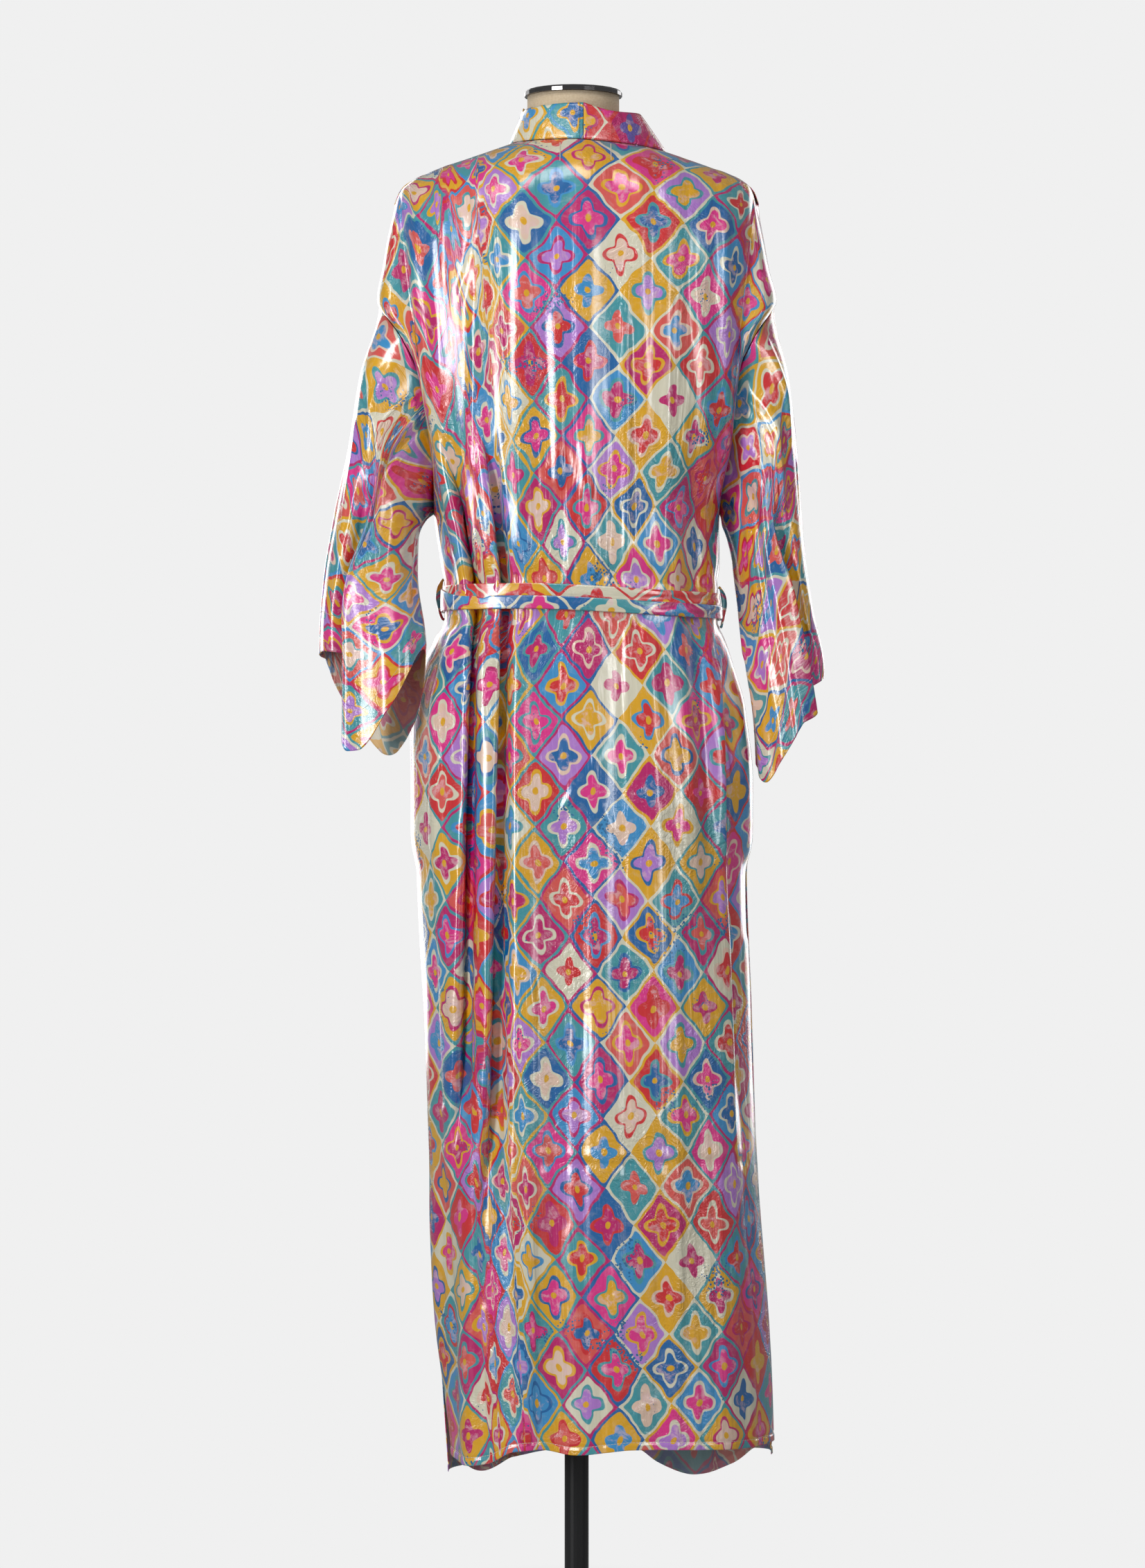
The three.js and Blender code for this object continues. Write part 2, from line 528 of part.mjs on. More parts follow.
// A sleeve, from its dropped armhole seam to the wide cuff
function sleevePoint(name, t, { point: start, turn }) {
  const hand = name === 'left' ? -1 : 1;
  const degrees = THREE.MathUtils.radToDeg(turn);
  const hem = read(SLEEVE_HEMS[name], 'turn', degrees, 'z');
  const z = mix(start.z, hem, t);
  const cell = (column) => read(SLEEVES[name], 'z', z, column);
  const outer = new THREE.Vector2(cell('outX'), cell('outY'));
  const inner = new THREE.Vector2(cell('inX'), cell('inY'));
  const along = outer.clone().sub(inner).multiplyScalar(0.5);
  const across = new THREE.Vector2(along.y, -along.x).normalize();
  const groove = SLEEVE_GROOVE[name];
  const dent = groove.deep * bell((degrees - groove.turn) / groove.wide) * smooth((t - groove.from) / 0.3);
  const swell = Math.sin(turn) * cell(turn < Math.PI ? 'back' : 'front') + dent;
  const middle = outer.add(inner).multiplyScalar(0.5).addScaledVector(along, Math.cos(turn));
  middle.addScaledVector(across, swell);
  const free = new THREE.Vector3(hand * middle.x, middle.y, z);
  return start.clone().lerp(free, 1 - (1 - clamp(t / SLEEVE_SWING)) ** 2).setZ(z);
}

function sleeve(name, front) {
  const seam = armhole(name === 'left' ? -1 : 1, front);
  const grid = [];
  for (let row = 0; row <= SLEEVE_ROWS; row += 1) {
    grid.push(seam.map((start) => {
      const point = sleevePoint(name, row / SLEEVE_ROWS, start);
      if (row > 0) return point;
      return point.add(sleevePoint(name, SLEEVE_SWING / 2, start).sub(point).setLength(ARM_GAP));
    }));
  }
  return wall(grid, WALL, { round: true, flip: name === 'right' });
}

// The belt lies on the gathered waist and bridges its pleats, a little lower at the right
function beltPoint(u, face, height, out) {
  const flat = bodyPoint(u, WAIST, face, out, false);
  return flat.setZ(WAIST - BELT_DROP * smooth((flat.x + 60) / 200) + height);
}

function belt() {
  const side = Array.from({ length: SIDE_STEPS }, (_, i) => 2 - i / SIDE_STEPS);
  const across = [...side.map((u) => -u), ...BACK_COLUMNS, ...side.slice(1).reverse()];
  const behind = [...across, 2].map((u) => [u, 'back']);
  const ring = [...behind, ...across.slice(1).reverse().map((u) => [u, 'front'])];
  const grid = [];
  for (let row = 0; row <= BELT_ROWS; row += 1) {
    const height = BELT_WIDTH * (0.5 - row / BELT_ROWS);
    grid.push(ring.map(([u, face]) => beltPoint(u, face, height, BELT_WALL + BELT_EASE)));
  }
  return wall(grid, BELT_WALL, { round: true });
}

// The knot at the front, and the two ends that hang from it over the wrap
function knot() {
  const belly = beltPoint(0, 'front', 0, BELT_WALL + BELT_EASE + SEAM);
  const rings = [];
  for (const turn of KNOT_TURNS.map(THREE.MathUtils.degToRad).reverse()) {
    const reach = Math.cos(turn) ** KNOT.boxy;
    rings.push(Array.from({ length: KNOT.sides }, (_, j) => {
      const angle = (j / KNOT.sides) * Math.PI * 2;
      return new THREE.Vector3(
        belly.x + (KNOT.width / 2) * reach * Math.cos(angle),
        belly.y + (KNOT.depth / 2) * (1 + reach * Math.sin(angle)),
        belly.z + (KNOT.height / 2) * Math.sin(turn),
      );
    }));
  }
  return solid(rings);
}

function tail({ topX, footX, length, out }) {
  const top = beltPoint(0, 'front', -KNOT.height / 2 - SEAM, 0).z;
  const grid = [];
  for (let row = 0; row <= TAIL.rows; row += 1) {
    const t = row / TAIL.rows;
    const middle = mix(topX, footX, t ** 0.8);
    const z = top - length * t;
    grid.push([-0.5, 0, 0.5].map((side) => frontPoint(-1, middle + TAIL.width * side, z, out + TAIL.wall)));
  }
  return wall(grid, TAIL.wall, { flip: true });
}

// A thread loop at a side seam, bowed round the belt
function beltLoop(hand) {
  const middle = beltPoint(2 * hand, 'back', 0, 0).z;
  const edge = (level) => read(BODY, 'z', level, 'half') + hand * read(BODY, 'z', level, 'centre');
  const surface = (z) => {
    const row = LEVELS.findIndex((level) => level <= z);
    const [above, below] = [LEVELS[row - 1], LEVELS[row]];
    return mix(edge(below), edge(above), (z - below) / (above - below)) + 2 * SEAM;
  };
  const [top, foot] = [middle + LOOP.height / 2, middle - LOOP.height / 2];
  const bow = surface(middle) + LOOP.bulge;
  const outline = new THREE.Shape();
  outline.moveTo(surface(top), top);
  outline.quadraticCurveTo(bow, top, bow, middle + LOOP.straight);
  outline.lineTo(bow, middle - LOOP.straight);
  outline.quadraticCurveTo(bow, foot, surface(foot), foot);
  outline.lineTo(surface(foot), foot + LOOP.thickness);
  const within = bow - LOOP.thickness;
  outline.quadraticCurveTo(within, foot + LOOP.thickness, within, middle - LOOP.straight);
  outline.lineTo(within, middle + LOOP.straight);
  outline.quadraticCurveTo(within, top - LOOP.thickness, surface(top), top - LOOP.thickness);
  const extent = { depth: LOOP.width, bevelEnabled: false, curveSegments: 5 };
  const geometry = new THREE.ExtrudeGeometry(outline, extent);
  geometry.translate(0, 0, -LOOP.width / 2).rotateX(Math.PI / 2);
  return hand < 0 ? geometry.rotateZ(Math.PI) : geometry;
}

// The bag behind a pocket slit: one layer of cloth inside its front, sewn in at the side seam
function pocketBag(hand, front) {
  const first = YOKE_ROWS + LEVELS.indexOf(POCKET.top);
  const last = YOKE_ROWS + LEVELS.indexOf(POCKET.bottom);
  const grid = front.grid.slice(first, last + 1).map((row) => row.slice(0, POCKET.columns));
  const settle = (normal, i, j) => {
    if (j === 0) normal.setY(0).normalize();
  };
  return wall(grid, POCKET.wall, { flip: hand < 0, inset: POCKET.inset, settle });
}

// The dress form: its shoulders carry the robe, and below them it keeps clear of the cloth
function formTorso() {
  const turns = Array.from({ length: FORM_TURNS }, (_, j) => (j / FORM_TURNS) * Math.PI * 2);
  const ring = (z, half, back, front, middle, profile, flare = 0) => turns.map((angle, j) => {
    const x = Math.cos(angle) * half;
    const neck = Math.sqrt(Math.max(0, (NECK.radius + NECK.flare) ** 2 - (middle + x - NECK.x) ** 2));
    const way = Math.sin(angle) < 0 ? -1 : 1;
    const y = Math.max(neck * flare, (way < 0 ? back : front) * profile(x, angle));
    return new THREE.Vector3(middle + x, j % (FORM_TURNS / 2) ? way * y : 0, z);
  });
  const round = (x, angle) => Math.abs(Math.sin(angle));
  const seat = (x) => ridge(Math.abs(x) * FORM_SCALE) - WALL - FORM_EASE;
  const crown = (share) => (1 - Math.abs(share) ** FORM_CROWN.curve) ** FORM_CROWN.flat;
  const shoulder = (z) => (x) => arch(seat(x) - z) * crown(x / FORM_SHOULDER);
  const { radius } = NECK;
  const rings = [NECK.top, NECK.root].map((z) => ring(z, radius, radius, radius, NECK.x, round));
  for (const x of FORM_STEPS) {
    const z = seat(x);
    const deep = (face) => read(FORM, 'z', z, face);
    rings.push(ring(z, x, deep('back'), deep('front'), 0, shoulder(z), 1));
  }
  for (const row of FORM.slice(1)) {
    const taper = (x) => crown(x / row.half) * arch(ridge(FORM_SHOULDER) - row.z);
    rings.push(ring(row.z, row.half, row.back, row.front, 0, taper));
  }
  return solid(rings);
}

// Closed solid through rings, with a flat fan at each end
function solid(rings) {
  const turns = rings[0].length;
  const middle = (points) => points.reduce((sum, p) => sum.add(p), new THREE.Vector3()).divideScalar(turns);
  const points = [...rings.flat(), middle(rings[0]), middle(rings[rings.length - 1])];
  const index = [];
  const head = rings.length * turns;
  for (let j = 0; j < turns; j += 1) {
    const k = (j + 1) % turns;
    for (let i = 0; i < rings.length - 1; i += 1) {
      const [a, b, c, d] = [i * turns + j, (i + 1) * turns + j, (i + 1) * turns + k, i * turns + k];
      index.push(a, b, c, a, c, d);
    }
    const foot = (rings.length - 1) * turns;
    index.push(head, j, k, head + 1, foot + k, foot + j);
  }
  const geometry = new THREE.BufferGeometry();
  geometry.setAttribute('position', new THREE.Float32BufferAttribute(points.flatMap((p) => p.toArray()), 3));
  geometry.setIndex(index);
  geometry.computeVertexNormals();
  return geometry;
}

// A turned piece from its outline of radius and height
function turned(outline, segments = 28) {
  const profile = outline.map(([radius, z]) => new THREE.Vector2(radius, z));
  return new THREE.LatheGeometry(profile, segments).rotateX(Math.PI / 2);
}

const robe = new THREE.Group();
const back = backPanel();
const left = frontPanel(-1);
const right = frontPanel(1);
robe.add(
  mesh('back', back.geometry, MATERIALS.body),
  mesh('front_left', left.geometry, MATERIALS.front),
  mesh('front_right', right.geometry, MATERIALS.pocket),
  mesh('collar_left', collarBand(-1, left), MATERIALS.band),
  mesh('collar_right', collarBand(1, right), MATERIALS.belt),
  mesh('sleeve_left', sleeve('left', left), MATERIALS.sleeve),
  mesh('sleeve_right', sleeve('right', right), MATERIALS.sleeve),
  mesh('belt', belt(), MATERIALS.belt),
);

for (const [hand, name, front] of [[-1, 'left', left], [1, 'right', right]]) {
  robe.add(
    mesh(`belt_loop_${name}`, beltLoop(hand), MATERIALS.belt),
    mesh(`pocket_${name}`, pocketBag(hand, front), MATERIALS.pocket),
  );
}
robe.add(mesh('belt_knot', knot(), MATERIALS.belt));
for (const end of TAILS) robe.add(mesh(end.name, tail(end), MATERIALS.belt));

const stand = new THREE.Group();
const under = FORM[FORM.length - 1].z;
const cap = turned([
  [0, NECK.top + SEAM], [CAP.radius, NECK.top + SEAM], [CAP.radius, CAP.top - EDGE],
  [CAP.radius - EDGE, CAP.top], [0, CAP.top],
]);
const plate = turned([
  [0, 0], [BASE.radius, 0], [BASE.radius, BASE.edge], [BASE.radius - BASE.rim, BASE.edge + EDGE],
  [SOCKET.radius + EDGE, BASE.height], [0, BASE.height],
], 44);
const poleFoot = BASE.height + SEAM;
const pole = new THREE.CylinderGeometry(POLE_RADIUS, POLE_RADIUS, under - SEAM - poleFoot, 24)
  .rotateX(Math.PI / 2).translate(0, 0, (under - SEAM + poleFoot) / 2);
const bore = POLE_RADIUS + 0.4;
const poleRing = (foot, top) => turned([
  [bore, foot], [SOCKET.radius, foot], [SOCKET.radius, top - EDGE], [SOCKET.radius - EDGE, top],
  [bore, top], [bore, foot],
], 24);
stand.add(
  mesh('form_torso', formTorso(), MATERIALS.linen),
  mesh('form_cap', cap, MATERIALS.chrome),
  mesh('form_pole', pole, MATERIALS.black),
  mesh('form_collar', poleRing(under - SEAM - SOCKET.height / 3, under - SEAM), MATERIALS.black),
  mesh('form_socket', poleRing(poleFoot, poleFoot + SOCKET.height), MATERIALS.black),
  mesh('form_base', plate, MATERIALS.black),
);
stand.getObjectByName('form_cap').position.x = NECK.x;
robe.add(stand);

export default robe;
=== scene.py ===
import math

import bmesh
import bpy
import numpy as np
from mathutils import Matrix, Vector


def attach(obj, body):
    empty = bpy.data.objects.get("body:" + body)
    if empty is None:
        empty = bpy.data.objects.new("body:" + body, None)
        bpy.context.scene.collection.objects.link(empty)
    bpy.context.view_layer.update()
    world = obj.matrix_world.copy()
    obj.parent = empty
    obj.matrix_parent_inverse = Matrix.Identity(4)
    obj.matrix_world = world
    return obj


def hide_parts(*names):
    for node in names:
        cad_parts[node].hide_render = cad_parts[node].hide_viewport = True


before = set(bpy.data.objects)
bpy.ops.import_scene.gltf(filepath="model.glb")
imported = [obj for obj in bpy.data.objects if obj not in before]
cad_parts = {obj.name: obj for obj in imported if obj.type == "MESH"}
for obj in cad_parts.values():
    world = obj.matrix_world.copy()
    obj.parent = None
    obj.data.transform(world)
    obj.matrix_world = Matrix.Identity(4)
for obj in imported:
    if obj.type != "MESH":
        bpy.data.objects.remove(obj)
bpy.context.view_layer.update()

# Camera
# The robe is seen straight from its back, level with the middle of the skirt, from 4.5 m away.
MM = 0.001
SIGHT = {"x": -4.3, "distance": 4500, "height": 884.5}
FRAME_HEIGHT = 1629.4     # height of the picture, in the plane of the pole
SENSOR = 36

lens = bpy.data.cameras.new("camera")
lens.sensor_width = SENSOR
lens.lens = SENSOR * SIGHT["distance"] / FRAME_HEIGHT
camera = bpy.data.objects.new("camera", lens)
camera.location = Vector((SIGHT["x"], -SIGHT["distance"], SIGHT["height"])) * MM
camera.rotation_euler = (math.pi / 2, 0, 0)
bpy.context.collection.objects.link(camera)
bpy.context.scene.camera = camera
bpy.context.scene.view_settings.view_transform = "Standard"


# Studio
# Tall soft boxes stand at the left and right of the camera and two more behind, so that satin has long
# upright highlights from every side. The floor fades into the pale surroundings.
BACKDROP = "#F0F0F0"
AMBIENT = 0.22            # light from the surroundings, as a share of the backdrop's tone
FLOOR_FADE = (0.17, 0.42)    # metres from the pole between which the floor takes the backdrop's tone
LIGHTS = {                # place, aim, size and watts
    "key": ((-2.5, -2.7, 1.5), (0, 0, 0.95), (0.7, 2.4), 70),
    "fill": ((2.0, -3.3, 1.5), (0, 0, 0.9), (0.3, 2.2), 22),
    "top": ((-0.2, -1.3, 3.2), (0, 0, 1.2), (1.4, 0.8), 14),
    "behind_left": ((-1.5, 3.2, 1.6), (0, 0, 0.95), (1.6, 2.6), 36),
    "behind_right": ((1.9, 3.0, 1.6), (0, 0, 0.95), (1.6, 2.6), 30),
}


def linear(colour):
    """An sRGB hex colour as the linear red, green, blue and alpha that a shader takes."""
    shares = [int(colour[i:i + 2], 16) / 255 for i in (1, 3, 5)]
    return [c / 12.92 if c <= 0.04045 else ((c + 0.055) / 1.055) ** 2.4 for c in shares] + [1.0]


def add(tree, kind, inputs, **settings):
    """A node with its settings. Each input takes a value, or the output of another node."""
    made = tree.nodes.new(kind)
    for name, value in settings.items():
        setattr(made, name, value)
    for socket, value in inputs.items():
        if isinstance(value, bpy.types.NodeSocket):
            tree.links.new(value, made.inputs[socket])
        else:
            made.inputs[socket].default_value = value
    return made


def surface(name, **values):
    """A new material and its shader, whose plain values are set on the shader's own sockets."""
    material = bpy.data.materials.new(name)
    material.use_nodes = True
    shader = material.node_tree.nodes["Principled BSDF"]
    for socket, value in values.items():
        shader.inputs[socket.replace("_", " ")].default_value = value
    return material, material.node_tree, shader


def coordinates(tree):
    return add(tree, "ShaderNodeTexCoord", {}).outputs["Object"]


def noise(tree, vector, scale, **more):
    named = {key.capitalize(): value for key, value in more.items()}
    return add(tree, "ShaderNodeTexNoise", {"Vector": vector, "Scale": scale, **named}).outputs


def ranged(tree, value, start=0.0, end=1.0, low=0.0, high=1.0, **settings):
    """A value that runs from low to high while another runs from start to end."""
    limits = {"Value": value, "From Min": start, "From Max": end, "To Min": low, "To Max": high}
    return add(tree, "ShaderNodeMapRange", limits, **settings).outputs["Result"]


def relief(tree, shader, height, distance, strength=1.0):
    """Fine relief on a shader. Its distance is in metres."""
    bump = add(tree, "ShaderNodeBump", {"Height": height, "Distance": distance, "Strength": strength})
    tree.links.new(bump.outputs["Normal"], shader.inputs["Normal"])


def backlight(tree):
    """1 where the camera looks straight at the backdrop, and less for the light that it gives."""
    straight = add(tree, "ShaderNodeLightPath", {}).outputs["Is Camera Ray"]
    return ranged(tree, straight, low=AMBIENT)


def solid(name, shape, *finishes):
    """A new object from a finished bmesh."""
    mesh = bpy.data.meshes.new(name)
    shape.to_mesh(mesh)
    shape.free()
    for finish in finishes:
        mesh.materials.append(finish)
    made = bpy.data.objects.new(name, mesh)
    bpy.context.collection.objects.link(made)
    return made


world = bpy.data.worlds.new("studio")
world.use_nodes = True
backdrop = world.node_tree.nodes["Background"]
backdrop.inputs["Color"].default_value = linear(BACKDROP)
world.node_tree.links.new(backlight(world.node_tree), backdrop.inputs["Strength"])
bpy.context.scene.world = world

for name, (place, aim, size, watts) in LIGHTS.items():
    lamp = bpy.data.lights.new(name, "AREA")
    lamp.shape = "RECTANGLE"
    lamp.size, lamp.size_y = size
    lamp.energy = watts
    holder = bpy.data.objects.new(name, lamp)
    holder.location = place
    holder.rotation_euler = (Vector(aim) - Vector(place)).to_track_quat("-Z", "Y").to_euler()
    bpy.context.collection.objects.link(holder)


def floor_finish():
    """Pale paper that takes a soft shadow round the base, and farther out has the backdrop's own tone."""
    material, tree, shader = surface("paper_floor", Base_Color=linear("#EDEDED"), Roughness=0.9)
    reach = add(tree, "ShaderNodeVectorMath", {0: coordinates(tree)}, operation="LENGTH").outputs["Value"]
    fade = ranged(tree, reach, *FLOOR_FADE, interpolation_type="SMOOTHSTEP")
    glow = add(tree, "ShaderNodeEmission", {"Color": linear(BACKDROP), "Strength": backlight(tree)})
    both = add(tree, "ShaderNodeMixShader",
               {0: fade, 1: shader.outputs["BSDF"], 2: glow.outputs["Emission"]})
    tree.links.new(both.outputs["Shader"], tree.nodes["Material Output"].inputs["Surface"])
    return material


disc = bmesh.new()
bmesh.ops.create_circle(disc, cap_ends=True, segments=64, radius=30)
floor = solid("floor", disc, floor_finish())


# Stand
# A turned steel plate, a tube and its screwed rings, powder-coated black, and a chromed neck cap. These
# are hard pieces whose solids have their true shape, so they get their finishes only.
def powder_coat():
    """Powder-coated steel: satin black with the fine orange peel of baked powder."""
    material, tree, shader = surface("powder_coated_steel", Base_Color=linear("#17181A"), Roughness=0.38)
    peel = noise(tree, coordinates(tree), 650.0, detail=2.0)["Fac"]
    tree.links.new(ranged(tree, peel, low=0.32, high=0.46), shader.inputs["Roughness"])
    relief(tree, shader, peel, 0.0001, 0.4)
    return material


def chrome():
    """Dark chrome plate: a clear mirror of a dim room, with faint smears that dull it in places."""
    material, tree, shader = surface("chrome_plate", Base_Color=linear("#7C7A7B"), Metallic=1.0,
                                     Roughness=0.1)
    smear = noise(tree, coordinates(tree), 60.0, detail=4.0)["Fac"]
    tree.links.new(ranged(tree, smear, low=0.06, high=0.2), shader.inputs["Roughness"])
    return material


black, bright = powder_coat(), chrome()
for name in ("form_pole", "form_collar", "form_socket", "form_base", "form_cap"):
    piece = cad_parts[name]
    piece.data.materials.clear()
    piece.data.materials.append(bright if name == "form_cap" else black)


# Sizes of the robe
# The robe is drafted in millimetres from the same measures as its pattern: the shoulder line, level
# sections from the shoulders to the hem, and the lines of the sides, the front edges and the folds.
def chart(names, *rows):
    """A table with named columns, a row for each section."""
    return {name: np.array(column, float) for name, column in zip(names.split(), zip(*rows))}


SIDES = (("left", -1), ("right", 1))
SEAM = 0.3
LEVEL = 960               # the height at which the cut of a panel is level
FINE = 2001               # steps along a line whose length is measured
UNDERLAP = {"depth": 4, "top": 1370, "run": 34}
YOKE, ARCH, ARM_TOP, UNDERARM, WAIST, HEM_TURN = 1400, 70, 1383, 1165, 1076, 420
SLIT = {"top": 1000, "bottom": 855, "gape": 5}
RIDGE = chart("x z", (0, 1566), (60, 1551), (93, 1540), (140, 1524), (170, 1512), (180, 1505),
              (184, 1499), (189, 1485))
NECK_SEAM = chart("x z", (-70, 1548), (7, 1545), (93, 1540))
BODY = chart(
    "z centre half back front",
    (1550, 0, 186, 90, 78), (1497, 0, 187, 98, 82), (1430, 0, 178, 108, 96), (1340, 1, 166, 113, 112),
    (1231, 3, 156, 110, 118), (1165, 0, 148, 104, 112), (1110, 4, 144, 99, 105), (1092, 5, 141, 96, 100),
    (1054, 5, 141, 96, 100), (1036, 3, 150, 99, 106), (1011, 2, 159, 103, 113), (960, 2.5, 171, 110, 122),
    (890, 6, 175, 117, 128), (832, 6, 175, 119, 128), (790, 6.5, 170, 119, 126),
    (660, 11.5, 169.5, 119, 124), (475, 19, 168.5, 120, 124), (334, 27, 171, 121, 125),
    (140, 36, 167, 121, 126),
)
SIDE = chart(
    "z kneeX kneeY midX midY endX endY",
    (1497, 184, 40, 187, 46, 189, 0), (1460, 180, 48, 193, 60, 193, 0), (1418, 175, 53, 201, 68, 199, 0),
    (1383, 170, 57, 208, 76, 205, 0), (1372, 168.5, 58, 204, 76, 200, 27), (1341, 165, 61, 174, 72, 180, 60),
    (1296, 160, 63, 167, 57, 160, 46), (1230, 149, 62, 159, 45, 152, 28), (1190, 140, 59, 154, 36, 148, 14),
)
FRONT_EDGE = chart(
    "z left right",
    (1550, -70, 93), (1500, -68, 88), (1400, -60, 74), (1300, -46, 56), (1200, -24, 34), (1110, 0, 8),
    (1045, 12, -4), (900, 22, -14), (140, 34, -8),
)
HEM_LEVEL = 190
HEMS = {
    "back": chart("x z", (-140, 193), (-118, 189), (-92, 193), (-62, 208), (-37, 210), (-4, 205), (60, 211),
                  (206, 206)),
    "front": chart("x z", (-140, 170), (-112, 155), (-80, 168), (20, 178), (68, 176), (95, 161), (134, 148),
                   (180, 164), (206, 188)),
}

# Folds that hang from the belt, and softer ones. Depth in is negative. A lapped fold is a knife pleat:
# the cloth on its left lies over the cloth on its right by about half of its lap, and the other way
# round where the lap is negative.
FOLD_NAMES = "topX topZ footX footZ belt deep wide lap"
FOLDS = {
    "back": chart(
        FOLD_NAMES,
        (-140, 1250, -127, 470, -111, -17, 8, 23), (-98, 1255, -96, 420, -80, -18, 8, 24),
        (-120, 1230, -112, 240, -96, 5, 13, 0), (-60, 1200, -66, 160, -58, 4, 18, 0),
        (118, 1240, 150, 700, 118, -7, 16, 0), (60, 1180, 96, 300, 66, 4, 22, 0),
        (-20, 900, -6, 160, -20, -4, 24, 0), (20, 700, 52, 160, 20, 4, 24, 0),
        (163, 1030, 167, 470, 150, -7, 9, 10), (-146, 520, -139, 200, -140, -5, 9, 8),
    ),
    "front": chart(
        FOLD_NAMES,
        (-122, 1240, -128, 420, -108, -11, 12, 16), (-96, 1190, -100, 160, -84, 5, 16, 0),
        (124, 1240, 160, 420, 114, -11, 12, -16), (100, 1190, 136, 160, 90, 5, 16, 0),
    ),
}


def mix(a, b, share):
    return a + (b - a) * share


def smooth(share):
    share = np.clip(share, 0, 1)
    return share * share * (3 - 2 * share)


def bell(reach):
    return np.where(np.abs(reach) < 1, (1 - reach ** 2) ** 2, 0)


def read(table, key, at, column):
    """A table's column at a place along its key, by a cubic that keeps between neighbouring rows."""
    keys, values = table[key], table[column]
    if keys[0] > keys[-1]:
        keys, values = keys[::-1], values[::-1]
    chord = np.diff(values) / np.diff(keys)
    product, total = chord[:-1] * chord[1:], chord[:-1] + chord[1:]
    inside = np.where(product <= 0, 0, 2 * product / np.where(total == 0, 1, total))
    slope = np.concatenate([chord[:1], inside, chord[-1:]])
    at = np.clip(at, keys[0], keys[-1])
    i = np.clip(np.searchsorted(keys, at, side="right") - 1, 0, len(keys) - 2)
    span = keys[i + 1] - keys[i]
    t = (at - keys[i]) / span
    bend = span * t * (1 - t) * ((1 - t) * slope[i] - t * slope[i + 1])
    return values[i] + (values[i + 1] - values[i]) * t * t * (3 - 2 * t) + bend


def ridge(x):
    return read(RIDGE, "x", np.abs(x), "z")


def arch(drop):
    return np.sqrt(1 - (1 - np.clip(drop / ARCH, 0, 1)) ** 2)


def side_at(z, face):
    """The knee, bulge and end of the side of the robe at a height."""
    def lower(at):
        half, deep = read(BODY, "z", at, "half"), read(BODY, "z", at, face)
        return {"kneeX": half * 0.905, "kneeY": deep * 0.55, "midX": half * 1.03, "midY": deep * 0.27,
                "endX": half, "endY": half * 0}
    below, joint = lower(z), lower(np.array(UNDERARM, float))
    found = {}
    for name, values in below.items():
        upper = {"z": np.append(SIDE["z"], UNDERARM), name: np.append(SIDE[name], joint[name])}
        found[name] = np.where(z > UNDERARM, read(upper, "z", z, name), values)
    return found


def fold_moves(x, z, face):
    """How far the folds move the cloth outwards and along itself, faded under the belt for a ridge."""
    depth, slide = np.zeros((2, *np.broadcast(x, z).shape))
    for values in zip(*FOLDS[face].values()):
        fold = dict(zip(FOLD_NAMES.split(), values))
        above = mix(fold["belt"], fold["topX"], np.clip((z - WAIST) / max(1, fold["topZ"] - WAIST), 0, 1))
        below = mix(fold["belt"], fold["footX"], np.clip((WAIST - z) / (WAIST - fold["footZ"]), 0, 1))
        line = np.where(z > WAIST, above, below)
        life = smooth((fold["topZ"] - z) / 90) * smooth((z - fold["footZ"]) / 160 + (fold["footZ"] < 300))
        lift = smooth((np.abs(z - WAIST + 4) - 18) / 60) if fold["deep"] > 0 else 1
        reach = (x - line) / (fold["wide"] * (1 + 0.5 * smooth((WAIST - z) / 500)))
        if fold["lap"]:
            lapped = reach * np.sign(fold["lap"])
            dip = smooth((lapped + 0.4) / 0.6) * (1 - smooth((lapped - 0.2) / 2.2))
            depth += life * (fold["deep"] * dip + 2.4 * bell((lapped + 0.6) / 0.55))
            slide -= life * abs(fold["lap"]) * lapped * bell(lapped)
        else:
            depth += fold["deep"] * life * lift * bell(reach)
    return depth, slide


def body(u, z, face, out=0.0, folded=True):
    """Points of the robe: u is -1 to 1 between the knees and runs on to 2 at the end of the side."""
    u, z = np.broadcast_arrays(np.asarray(u, float), np.asarray(z, float))
    way, hand = (-1 if face == "back" else 1), np.where(u < 0, -1, 1)
    side = side_at(z, face)
    centre, deep = read(BODY, "z", z, "centre"), read(BODY, "z", z, face)
    rounding = arch(ridge(side["kneeX"] * np.minimum(1, np.abs(u))) - z)

    def section(v):
        t = np.clip(np.abs(v) - 1, 0, 1)
        crown = (1 - np.minimum(1, np.abs(v)) ** 2.4) ** 0.62
        a, b, c = (1 - t) ** 2, 2 * t * (1 - t), t * t
        around = hand * (a * side["kneeX"] + b * side["midX"] + c * side["endX"])
        x = np.where(t > 0, around, side["kneeX"] * v)
        bow = a * side["kneeY"] + b * side["midY"] + c * side["endY"]
        return centre + x, way * rounding * np.where(t > 0, bow, mix(side["kneeY"], deep, crown))

    x, y = section(u)
    before, after = section(np.maximum(-2, u - 0.01)), section(np.minimum(2, u + 0.01))
    across, inward = after[0] - before[0], after[1] - before[1]
    length = np.maximum(1e-9, np.hypot(across, inward))
    depth, slide = fold_moves(x, z, face) if folded else (0, 0)
    move = out + depth
    slit = np.clip((z - SLIT["bottom"]) / (SLIT["top"] - SLIT["bottom"]), 0, 1)
    gape = SLIT["gape"] / 2 * np.sin(math.pi * slit) * np.clip(np.abs(u) - 1, 0, 1) ** 2
    return np.stack([x - way * inward / length * move + across / length * slide,
                     y + way * across / length * move + inward / length * slide + way * (SEAM / 2 + gape),
                     z + 0 * x], axis=-1)


